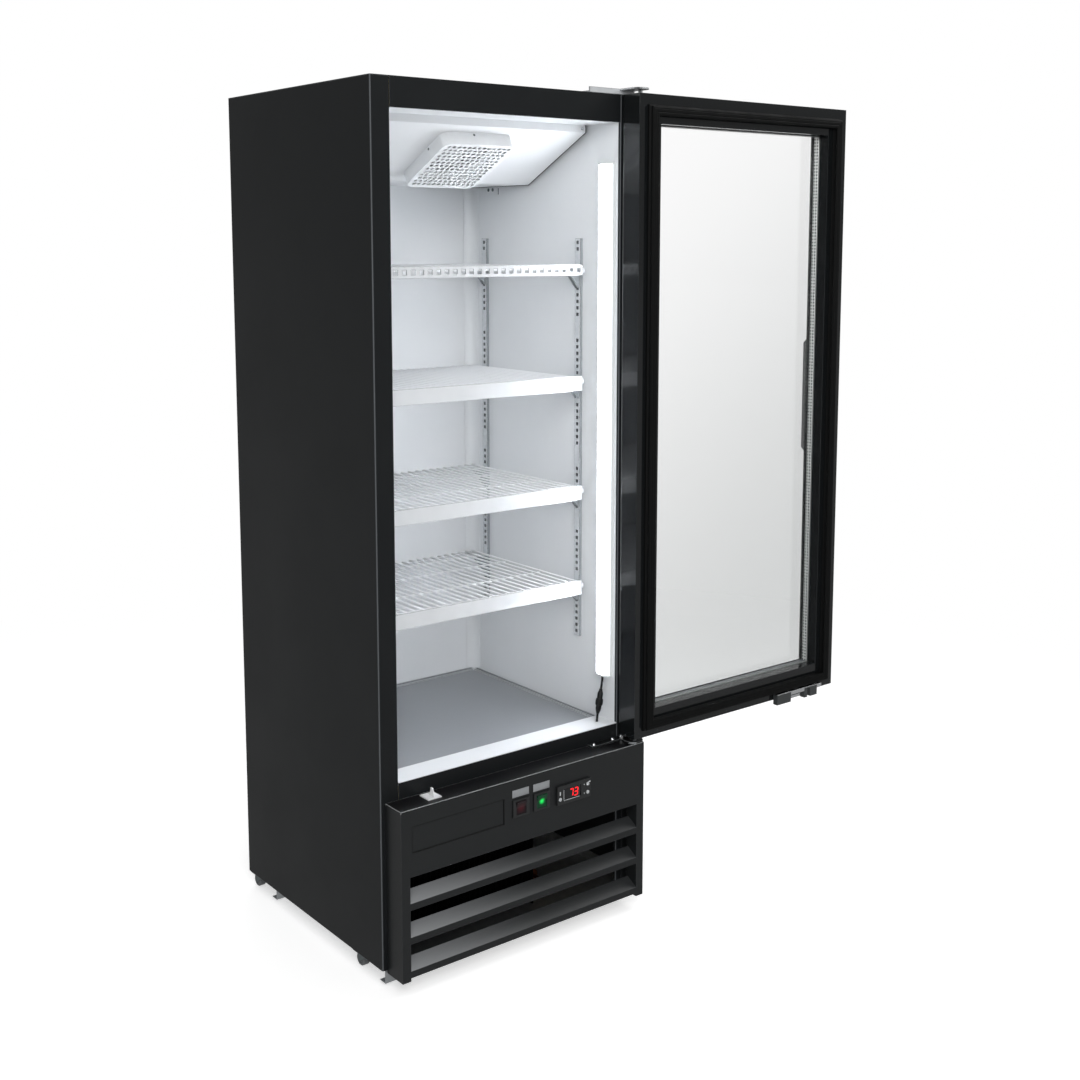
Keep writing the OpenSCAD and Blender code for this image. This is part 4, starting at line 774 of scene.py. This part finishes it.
class REFRIGERATOR_OT_finishes(bpy.types.Operator):
    """Makes the finishes and puts them on the CAD nodes that show as they are"""
    bl_idname = "refrigerator.finishes"
    bl_label = "Finishes"

    def execute(self, context):
        settings = context.scene.refrigerator
        make_finishes(settings.cabinet)
        low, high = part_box("led_lens")
        MATERIALS["lens"] = lamp_lens("Opal lens", (low[1] + high[1]) / 2,
                                      settings.light.lamp_pitch, settings.light.glow)
        unlit, lit = (millimetres(x, -52, CONTROLS_HEIGHT) for x in SWITCH_MIDDLES)
        MATERIALS["red"] = rocker_plastic("Rocker dark red", unlit, "#14040a", "#3c0a14",
                                          "#ff2020", 0.0, 0.014)
        MATERIALS["green"] = rocker_plastic("Rocker lit green", lit, "#03381f", "#10a048",
                                            "#18f058", 0.75, 0.0085)
        for finish, nodes in DRESSED.items():
            dress(finish, *nodes)
        return {"FINISHED"}


class REFRIGERATOR_OT_shelves(bpy.types.Operator):
    """Makes the wires of the four shelves and the hooks at their strips' ends"""
    bl_idname = "refrigerator.shelves"
    bl_label = "Shelves"

    def execute(self, context):
        settings = context.scene.refrigerator.shelves
        r = settings.wire / 2
        # Places of the four cross wires behind the shelf's front edge
        crossings = (0.025, 0.130, 0.250, 0.336)
        for node in SHELVES:
            low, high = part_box(node)
            left, front, right, back = low[0] + r, low[1] + r, high[0] - r, high[1] - r
            top = high[2] - r
            count = int((high[0] - low[0] - settings.wire) / 2 / settings.pitch)
            xs = (low[0] + high[0]) / 2 + np.arange(-count, count + 1) * settings.pitch
            parts = [bar((x, front, top), (x, back, top), r) for x in xs]
            parts += [bar((left, low[1] + y, low[2] + r), (right, low[1] + y, low[2] + r), r)
                      for y in crossings]
            # A thicker frame wire closes each side and the back
            side = high[2] - r * 1.2
            parts += [bar((x, front, side), (x, back, side), r * 1.15)
                      for x in (low[0] + r * 1.2, high[0] - r * 1.2)]
            rear = high[2] - r * 2.6
            parts.append(bar((left, back, rear), (right, back, rear), r * 1.1))
            points, faces = join(parts)
            build(node + "_wires", points, faces, "coated_wire", "cabinet", "shelf_white",
                  (node,))
        near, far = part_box("price_strips")
        hooks = []
        for node in SHELVES:
            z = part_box(node)[1][2]
            for x in (near[0] - 0.005, far[0] - 0.0005):
                hooks.append(soft_block((x, near[1], z - 0.013),
                                        (x + 0.0055, far[1] + 0.001, z - 0.003), 0.001, 6))
        build("strip_hooks", *join(hooks), "strip", "cabinet", "shelf_white")
        return {"FINISHED"}


class REFRIGERATOR_OT_lead(bpy.types.Operator):
    """Makes the light bar's lead round and smooth, with its connector's ribs"""
    bl_idname = "refrigerator.lead"
    bl_label = "Lead"

    def execute(self, context):
        upper = millimetres(*np.array([[535, 35, 426], [535, 35, 418], [533, 34.5, 408],
                                       [531, 34, 400]]).T)
        lower = millimetres(*np.array([[519.5, 30.5, 352], [518, 30, 345], [517, 29.5, 338],
                                       [517, 29.5, 331]]).T)
        radius = 0.00225
        # Each run is cut into 25 points, and each point becomes a mean of its neighbours
        kernel = np.array([1, 2, 3, 2, 1]) / 9.0
        runs = []
        for path in (upper, lower):
            t = np.arange(len(path))
            s = np.linspace(0, len(path) - 1, 25)
            smooth = np.stack([np.interp(s, t, path[:, k]) for k in range(3)], -1)
            padded = np.concatenate([smooth[:1]] * 2 + [smooth] + [smooth[-1:]] * 2)
            smooth = np.stack([np.convolve(padded[:, k], kernel, "valid") for k in range(3)], -1)
            runs.append(tube(smooth, radius, 16))
        build("lead_sheath", *join(runs), "cable", "cabinet", "black_plastic", ("led_lead",))
        foot, top = lower[0], upper[-1]
        axis = top - foot
        length = np.linalg.norm(axis) * 1000
        # The connector's outline in mm: a ribbed cone, a nut and a tapered neck
        ribs = []
        for k in range(5):
            h = 1.0 + k * 1.4
            ribs += [[2.6 + k * 0.45, h], [3.2 + k * 0.45, h + 0.3], [3.2 + k * 0.45, h + 0.9],
                     [2.7 + k * 0.45, h + 1.2]]
        a = np.linspace(0, math.pi, 7)
        nut = np.stack([6.4 + 1.1 * np.sin(a), 23.5 - 6.5 * np.cos(a)], -1)
        outline = ([[0.001, 0], [2.4, 0]] + ribs + [[5.2, 9], [5.5, 10], [5.5, 16.8]]
                   + nut.tolist()
                   + [[5.5, 30.2], [5.5, length - 9], [5.1, length - 8], [3.6, length - 4],
                      [3.1, length - 0.5], [2.4, length], [0.001, length]])
        body = turned(np.array(outline) / 1000, foot, axis, 40)
        piece = build("lead_connector_ribbed", *body, "cable", "cabinet", "black_plastic",
                      ("led_connector",))
        sharp(recalculated(piece), 30)
        return {"FINISHED"}


class REFRIGERATOR_OT_gasket(bpy.types.Operator):
    """Makes the door's gasket with its bellows, mitred at the corners"""
    bl_idname = "refrigerator.gasket"
    bl_label = "Gasket"

    def execute(self, context):
        width = context.scene.refrigerator.door.gasket_width
        low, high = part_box("door_gasket")
        back = high[1]
        depth = back - low[1]
        # Across the width: a foot, a fold, the flat magnet face and a thin lip
        w = np.array([0.0, 0.02, 0.10, 0.16, 0.12, 0.16, 0.30, 0.36, 0.42, 0.62, 0.68, 0.74,
                      0.90, 0.97, 1.0, 0.96, 0.86, 0.90, 1.0])
        h = np.array([0.02, 0.30, 0.42, 0.52, 0.66, 0.90, 0.985, 0.93, 0.985, 0.985, 0.93,
                      0.985, 0.985, 0.93, 0.80, 0.66, 0.54, 0.30, 0.02])
        profile = np.stack([w * width, back - h * depth], -1)
        ring = frame_ring(profile, (low[0], low[2]), (high[0], high[2]))
        piece = build("gasket_bellows", *ring, "gasket", "door", "seal_rubber",
                      ("door_gasket",))
        sharp(recalculated(piece), 25)
        return {"FINISHED"}


class REFRIGERATOR_OT_spacer(bpy.types.Operator):
    """Makes the dotted spacer bar between the panes"""
    bl_idname = "refrigerator.spacer"
    bl_label = "Spacer"

    def execute(self, context):
        low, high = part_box("glass_spacer")
        # The bar is 8 mm wide, and its inner edges are cut off by 0.8 mm
        w, c = 0.008, 0.0008
        profile = np.array([[0, low[1]], [w - c, low[1]], [w, low[1] + c], [w, high[1] - c],
                            [w - c, high[1]], [0, high[1]]])
        ring = frame_ring(profile, (low[0], low[2]), (high[0], high[2]))
        material, tree, shader = finish_material("Perforated aluminium bar", "#cfcecc", 0.4,
                                                 0.3)
        # Two rows of vent dots run along the bar's face; the real ones are about 3 mm apart,
        # and are drawn 6.6 mm apart to show
        dots = 0.0066
        centre = (low[1] + high[1]) / 2
        place = add(tree, "ShaderNodeSeparateXYZ",
                    {"Vector": object_place(tree, (1 / dots, 1 / dots, 1 / dots))})
        across = add(tree, "ShaderNodeMath", {0: place.outputs["Y"]}, {1: 0.5 - centre / dots},
                     operation="ADD")
        flat = add(tree, "ShaderNodeCombineXYZ", {"X": across.outputs[0],
                                                  "Y": place.outputs["Z"]})
        cells = add(tree, "ShaderNodeTexVoronoi", {"Vector": flat.outputs["Vector"]},
                    voronoi_dimensions="2D", fixed={"Scale": 1.0, "Randomness": 0.0})
        dot = add(tree, "ShaderNodeMapRange", {"Value": cells.outputs["Distance"]},
                  fixed={"From Min": 0.38, "From Max": 0.26})
        face = add(tree, "ShaderNodeNewGeometry")
        facing = add(tree, "ShaderNodeSeparateXYZ", {"Vector": face.outputs["True Normal"]})
        side = add(tree, "ShaderNodeMath", {0: facing.outputs["X"]}, operation="ABSOLUTE")
        mark = add(tree, "ShaderNodeMath", {0: dot.outputs["Result"], 1: side.outputs[0]},
                   operation="MULTIPLY")
        overlay(tree, shader, mark.outputs[0], "#55575a")
        # The level runs are plain, and darker grey: painted shade
        level = add(tree, "ShaderNodeMath", {0: facing.outputs["Z"]}, operation="ABSOLUTE")
        overlay(tree, shader, level.outputs[0], "#737577")
        relief(tree, shader, mark.outputs[0], -0.0003, 0.7)
        MATERIALS["spacer"] = material
        piece = build("spacer_bar_dotted", *ring, "spacer", "door", "aluminium",
                      ("glass_spacer",))
        sharp(recalculated(piece), 30)
        return {"FINISHED"}


# The bars that each digit lights, lettered clockwise from the top one, with g in the middle
SEGMENTS = {0: "abcdef", 1: "bc", 2: "abdeg", 3: "abcdg", 4: "bcfg", 5: "acdfg", 6: "acdefg",
            7: "abc", 8: "abcdefg", 9: "abcdfg"}


def segment(length, thick):
    """One bar of a digit: a flat hexagon of a length and a thickness, pointed at its ends."""
    half, t = length / 2, thick / 2
    return np.array([[-half, 0], [-half + t, t], [half - t, t], [half, 0], [half - t, -t],
                     [-half + t, -t]])


class REFRIGERATOR_OT_display(bpy.types.Operator):
    """Makes the controller's window, its lit digits and its small marks"""
    bl_idname = "refrigerator.display"
    bl_label = "Display"

    def execute(self, context):
        settings = context.scene.refrigerator.controls
        low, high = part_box("controller_body")
        MATERIALS["digit"] = lit_plastic("Lit digit", "#c01018", "#ff141c", 1.5)
        MATERIALS["window"] = smoked_acrylic("Smoked acrylic")
        MATERIALS["mark"] = moulded_plastic("Printed mark", "#c9cccf", "#dfe2e4", 0.5)
        # The window's middle stands 4 mm left of the bezel's
        middle = (low[0] + high[0]) / 2 - 0.004
        front = low[1]
        z = row_height(CONTROLS_HEIGHT)
        # The smoked window closes the well, flush with the bezel less a hair
        wx, wz, wy = 0.0208, 0.0108, front + 0.0007
        window = soft_block((middle - wx, wy, z - wz), (middle + wx, wy + 0.0005, z + wz),
                            0.0002, 6)
        build("controller_window", *window, "window", "cabinet", "black_plastic")
        # A thin light line frames the window's lower left corner: painted highlight
        rim = []
        for (ax, az), (bx, bz) in (((-wx - 0.0006, -wz), (-wx + 0.0002, wz * 0.9)),
                                   ((-wx, -wz - 0.0007), (wx * 0.85, -wz + 0.0001))):
            rim.append(soft_block((middle + ax, front - 0.0003, z + az),
                                  (middle + bx, front + 0.0002, z + bz), 0.0002, 5))
        build("controller_window_highlight", *join(rim), "mark", "cabinet", "silver_plastic")
        h = settings.digit_height
        w = h * 0.56
        t = h * 0.15
        # Each bar's middle, and whether it stands upright
        bars = {"a": ((0, h / 2), False), "g": ((0, 0), False), "d": ((0, -h / 2), False),
                "f": ((-w / 2, h / 4), True), "b": ((w / 2, h / 4), True),
                "e": ((-w / 2, -h / 4), True), "c": ((w / 2, -h / 4), True)}
        digits = []
        for place, digit in enumerate((settings.shown // 10, settings.shown % 10)):
            origin = np.array([middle + (place * 2 - 1) * w * 0.72 + 0.0035, z])
            for key in SEGMENTS[digit]:
                centre, upright_bar = bars[key]
                flat = segment((h / 2 if upright_bar else w) * 0.96, t)
                if upright_bar:
                    flat = flat[:, ::-1]
                flat = flat + centre
                # The digits lean to the right by a tenth
                flat[:, 0] += flat[:, 1] * 0.1
                flat = flat + origin
                digits.append(thin_plate(np.column_stack(
                    [flat[:, 0], np.full(6, wy - 0.00012), flat[:, 1]])))
        piece = build("display_digits", *join(digits), "digit", "cabinet", "red_plastic",
                      smooth=False)
        recalculated(piece)
        # Small printed marks on the bezel: an arrow up, an arrow down and two short bars
        print_plane = -55.05
        marks = []
        a = np.linspace(0, 2 * math.pi, 3, endpoint=False)
        for mx, mz, turn in ((24.5, 8.5, 0.5), (24.5, -8.5, -0.5)):
            x = CONTROLLER_MIDDLE + mx + 1.5 * np.cos(a + math.pi * turn)
            height = CONTROLS_HEIGHT + mz + 1.5 * np.sin(a + math.pi * turn)
            marks.append(thin_plate(millimetres(x, print_plane, height)))
        for mx, mz, sx, sz in ((-33.5, 4, 1.1, 3.6), (37.5, 11.5, 2.2, 0.9)):
            x, height = CONTROLLER_MIDDLE + mx, CONTROLS_HEIGHT + mz
            marks.append(soft_block(millimetres(x - sx, print_plane, height - sz),
                                    millimetres(x + sx, print_plane + 0.15, height + sz),
                                    0.0001, 5))
        piece = build("controller_marks", *join(marks), "mark", "cabinet", "silver_plastic",
                      smooth=False)
        recalculated(piece)
        return {"FINISHED"}


class REFRIGERATOR_OT_plates(bpy.types.Operator):
    """Makes the two bare label plates over the switches"""
    bl_idname = "refrigerator.plates"
    bl_label = "Plates"

    def execute(self, context):
        MATERIALS["label"] = brushed_metal("Brushed label foil", "#8f9295", "#b4b7ba", 0.34,
                                           (4, 4, 90), 0.55)
        parts = []
        for x in SWITCH_MIDDLES:
            parts.append(soft_block(millimetres(x - 19, -50.35, 272),
                                    millimetres(x + 19, -49.95, 286), 0.0002, 6))
        build("switch_labels_bare", *join(parts), "label", "cabinet", "silver_plastic")
        return {"FINISHED"}


def dome(radius, height):
    """The profile of a domed screw head: (r cos a, h sin a) for a quarter turn."""
    a = np.linspace(0, math.pi / 2, 6)
    return np.stack([radius * np.cos(a) + 0.00001, height * np.sin(a)], -1)


class REFRIGERATOR_OT_fixings(bpy.types.Operator):
    """Makes the screws, the dark beads and strips of painted shade, the corner coves and the
    hinge nut
    """
    bl_idname = "refrigerator.fixings"
    bl_label = "Fixings"

    def execute(self, context):
        # Two screws on the evaporator cover's front flange and two under its rear flange
        heads = [turned(dome(0.0035, 0.0014), millimetres(x, 90, 1488), (0, -1, 0), 20)
                 for x in (56, 524)]
        heads += [turned(dome(0.003, 0.0012), millimetres(x, 400, 1388), (0, 0, -1), 20)
                  for x in (230, 350)]
        build("cover_screws", *join(heads), "chrome", "cabinet", "chrome_steel")

        # Two screws on the right wall of the liner
        wall = LINER_SIDES[1]
        heads = [turned(dome(0.0037, 0.0018), millimetres(wall, y, 1382), (-1, 0, 0), 20)
                 for y in (404, 419)]
        # Two of the guard's screws, on its front and left walls, in the slope's own frame
        guard_middle = np.array([296, 179.5, 1434.5])
        slope_drop, slope_run = 93, 179
        tilt = math.atan2(slope_drop, slope_run)
        along = np.array([0, math.cos(tilt), -math.sin(tilt)])
        out = np.array([0, math.sin(tilt), math.cos(tilt)])
        for u, v, axis in ((-12, -79, -along), (-79, -24, (-1, 0, 0))):
            point = guard_middle + (u, 0, 0) + v * along - 5 * out
            heads.append(turned(dome(0.0024, 0.001), millimetres(*point), axis, 20))
        # The narrow slit beside the wall's screws, a dark block of painted shade for its hollow
        heads.append(soft_block(millimetres(wall - 0.3, 383, 1372),
                                millimetres(wall, 385.4, 1385), 0.0001, 5))
        build("wall_screws", *join(heads), "worn", "cabinet", "zinc_plate")

        # A dark bead runs along the evaporator cover's edges towards the walls: painted shade for
        # the gap there
        path = np.array([[90, COVER_TOP], [90, 1486], [90, 1481], [94, 1479], [180, 1434.2],
                         [265, 1390.2], [269, 1388], [275, 1388], [400, 1388], [470, 1388]])
        gap_shade_beads = [tube(millimetres(x, path[:, 0], path[:, 1]), 0.0009, 8)
                 for x in (47.2, 532.8)]
        build("cover_gap_shade", *join(gap_shade_beads), "gasket", "cabinet", "seal_rubber")

        # A hollow cove closes each upright rear corner: (R - R cos a, R - R sin a) from it
        turn = np.linspace(0, math.pi / 2, 13)
        reach = 22.0
        hollow = np.stack([reach - reach * np.cos(turn), reach - reach * np.sin(turn)], -1)
        outline = np.concatenate([[[0.1, reach + 1]], hollow + 0.9, [[reach + 1, 0.1]],
                                  [[0.1, 0.1]]])
        coves = []
        for side, corner in zip((1, -1), LINER_SIDES):
            foot = millimetres(corner + side * outline[:, 0], LINER_BACK - outline[:, 1], 0)
            coves.append(upright(foot[:, :2], row_height(LINER_FLOOR), row_height(COVER_TOP)))
        piece = build("corner_coves", *join(coves), "enamel", "cabinet", "liner_paint")
        sharp(recalculated(piece), 30)

        # A dark strip, 11 mm wide, lies behind the slots of each standard: painted shade for the
        # hollow behind them
        low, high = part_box("shelf_standards")
        slot_shade_strips = []
        for x in (LINER_SIDES[0] + 0.5, LINER_SIDES[1] - 0.5):
            for y in (117, 428):
                near = millimetres(x - 0.2, y - 5.5, 0)
                far = millimetres(x + 0.2, y + 5.5, 0)
                slot_shade_strips.append(soft_block((near[0], near[1], low[2] + 0.002),
                                        (far[0], far[1], high[2] - 0.002), 0.0001, 5))
        build("standard_slot_shade", *join(slot_shade_strips), "matt_black", "cabinet", "black_plastic")

        # The hinge pin's nut: a hexagon with a domed end, radius and height in mm
        profile = np.array([[0.00001, 0], [5.6, 0], [6, 0.5], [6, 4], [5.4, 4.8], [3.2, 4.8],
                            [3.2, 6.6], [2.8, 7.2], [0.00001, 7.2]]) / 1000
        nut = turned(profile, millimetres(545, -10, 309.5), (0, 0, 1), 6)
        piece = build("hinge_nut", *nut, "chrome", "cabinet", "chrome_steel")
        sharp(recalculated(piece), 20)
        return {"FINISHED"}


def straight_rays(tree):
    """The Light Path node, and one for rays from the camera or through clear glass."""
    path = add(tree, "ShaderNodeLightPath")
    seen = add(tree, "ShaderNodeMath", {0: path.outputs["Is Camera Ray"],
                                        1: path.outputs["Is Transmission Ray"]},
               operation="MAXIMUM")
    return path, seen.outputs[0]


class REFRIGERATOR_OT_stage(bpy.types.Operator):
    """Makes the floor, the backdrop, the lights and the camera"""
    bl_idname = "refrigerator.stage"
    bl_label = "Stage"

    def execute(self, context):
        settings = context.scene.refrigerator.stage
        scene = context.scene
        scene.view_settings.view_transform = "Standard"
        floor_material, tree, shader = finish_material("Pale floor", "#f2f2f2", 0.9)
        output = tree.nodes["Material Output"]
        path, seen = straight_rays(tree)
        # Away from the object the floor turns into an even white that no lamp changes
        place = add(tree, "ShaderNodeTexCoord")
        away = add(tree, "ShaderNodeVectorMath", {0: place.outputs["Object"]},
                   operation="LENGTH")
        rise = add(tree, "ShaderNodeMapRange", {"Value": away.outputs["Value"]},
                   interpolation_type="SMOOTHSTEP", fixed={"From Min": 0.7, "From Max": 2.6})
        far = add(tree, "ShaderNodeMath", {0: seen, 1: rise.outputs["Result"]},
                  operation="MULTIPLY")
        near = add(tree, "ShaderNodeMath", {0: seen}, {1: 0.5}, operation="MULTIPLY")
        shader.inputs["Emission Color"].default_value = (1, 1, 1, 1)
        tree.links.new(near.outputs[0], shader.inputs["Emission Strength"])
        white = add(tree, "ShaderNodeEmission")
        blend = add(tree, "ShaderNodeMixShader", {0: far.outputs[0], 1: shader.outputs["BSDF"],
                                                  2: white.outputs["Emission"]})
        # Mirrored in the object, the floor is as dim as the walls of a room
        dim = add(tree, "ShaderNodeEmission", fixed={"Strength": 0.42})
        # A ray that went through clear glass counts as glossy too, and sees the floor as it is
        glossy = add(tree, "ShaderNodeMath", {0: path.outputs["Is Glossy Ray"],
                                              1: path.outputs["Is Transmission Ray"]},
                     operation="SUBTRACT", use_clamp=True)
        mirrored = add(tree, "ShaderNodeMixShader", {0: glossy.outputs[0],
                                                     1: blend.outputs["Shader"],
                                                     2: dim.outputs["Emission"]})
        tree.links.new(mirrored.outputs["Shader"], output.inputs["Surface"])
        # The floor is a flat grid that reaches 30 m each way
        t = np.linspace(-30.0, 30.0, 3)
        x, y = np.meshgrid(t, t, indexing="ij")
        points = np.stack([x, y, np.zeros_like(x)], -1).reshape(-1, 3)
        mesh = bpy.data.meshes.new("floor")
        mesh.from_pydata(points.tolist(), [], quads(3, 3)[:, ::-1].tolist())
        floor = bpy.data.objects.new("floor", mesh)
        scene.collection.objects.link(floor)
        mesh.materials.append(floor_material)

        world = bpy.data.worlds.new("Studio")
        scene.world = world
        world.use_nodes = True
        tree = world.node_tree
        background = tree.nodes["Background"]
        background.inputs["Color"].default_value = (1, 1, 1, 1)
        # The camera and clear glass see it white; as a light it is dimmer
        level = add(tree, "ShaderNodeMapRange", {"Value": straight_rays(tree)[1]},
                    fixed={"To Min": 0.3, "To Max": 1.0})
        tree.links.new(level.outputs["Result"], background.inputs["Strength"])

        self.lamp(scene, "key", (-1.9, -3.7, 3.0), (0, 0, 0.8), (2.4, 2.4), settings.key_power)
        self.lamp(scene, "fill", (2.6, -1.2, 3.3), (0.1, -0.2, 0.5), (1.8, 1.8),
                  settings.fill_power)
        self.lamp(scene, "top", (0.1, 1.6, 3.8), (0.2, 0, 0.8), (2.4, 2.4), 30.0)
        # A tall narrow lamp draws the thin light line down the rounded front corners
        self.lamp(scene, "edge", (-3.0, -2.3, 1.0), (0, -0.2, 0.9), (0.35, 2.4), 8.0)

        data = bpy.data.cameras.new("Camera")
        camera = bpy.data.objects.new("Camera", data)
        scene.collection.objects.link(camera)
        # The picture is 1080 pixels wide, and the lens's focal length is 1412.5 of them
        data.sensor_width = 36.0
        data.lens = 1412.5 / 1080 * 36.0
        data.shift_y = -0.11
        data.clip_end = 100.0
        camera.location = millimetres(-1226.6, -2015.5, 1277.4).tolist()
        camera.rotation_euler = (math.radians(90 - 7.3), 0, math.radians(-38.06))
        scene.camera = camera
        return {"FINISHED"}

    @staticmethod
    def lamp(scene, name, place, aim, size, power):
        """An area lamp of a width and a height at a place, turned to face a point."""
        data = bpy.data.lights.new(name, "AREA")
        data.shape = "RECTANGLE"
        data.size, data.size_y = size
        data.energy = power
        lamp = bpy.data.objects.new(name, data)
        scene.collection.objects.link(lamp)
        way = np.array(aim, float) - np.array(place, float)
        lamp.location = place
        lamp.rotation_euler = (math.acos(-way[2] / np.linalg.norm(way)), 0,
                               math.atan2(way[1], way[0]) - math.pi / 2)


class REFRIGERATOR_PT_panel(bpy.types.Panel):
    """Lists the operators that make the pieces"""
    bl_idname = "REFRIGERATOR_PT_panel"
    bl_label = "Display refrigerator"
    bl_space_type = "VIEW_3D"
    bl_region_type = "UI"
    bl_category = "Refrigerator"

    def draw(self, context):
        for operator in OPERATORS:
            self.layout.operator(operator.bl_idname)


OPERATORS = (
    REFRIGERATOR_OT_stage,
    REFRIGERATOR_OT_finishes,
    REFRIGERATOR_OT_shelves,
    REFRIGERATOR_OT_lead,
    REFRIGERATOR_OT_gasket,
    REFRIGERATOR_OT_spacer,
    REFRIGERATOR_OT_display,
    REFRIGERATOR_OT_plates,
    REFRIGERATOR_OT_fixings,
)

CLASSES = (
    CabinetSettings,
    ShelfSettings,
    LightSettings,
    ControlSettings,
    DoorSettings,
    StageSettings,
    RefrigeratorSettings,
    *OPERATORS,
    REFRIGERATOR_PT_panel,
)


def register():
    """Registers the classes and puts the settings on the scene."""
    for cls in CLASSES:
        bpy.utils.register_class(cls)
    bpy.types.Scene.refrigerator = PointerProperty(type=RefrigeratorSettings)


def unregister():
    """Takes the settings and the classes away again."""
    del bpy.types.Scene.refrigerator
    for cls in reversed(CLASSES):
        bpy.utils.unregister_class(cls)


def main():
    register()
    for operator in OPERATORS:
        group, name = operator.bl_idname.split(".")
        getattr(getattr(bpy.ops, group), name)()


if __name__ == "__main__":
    main()
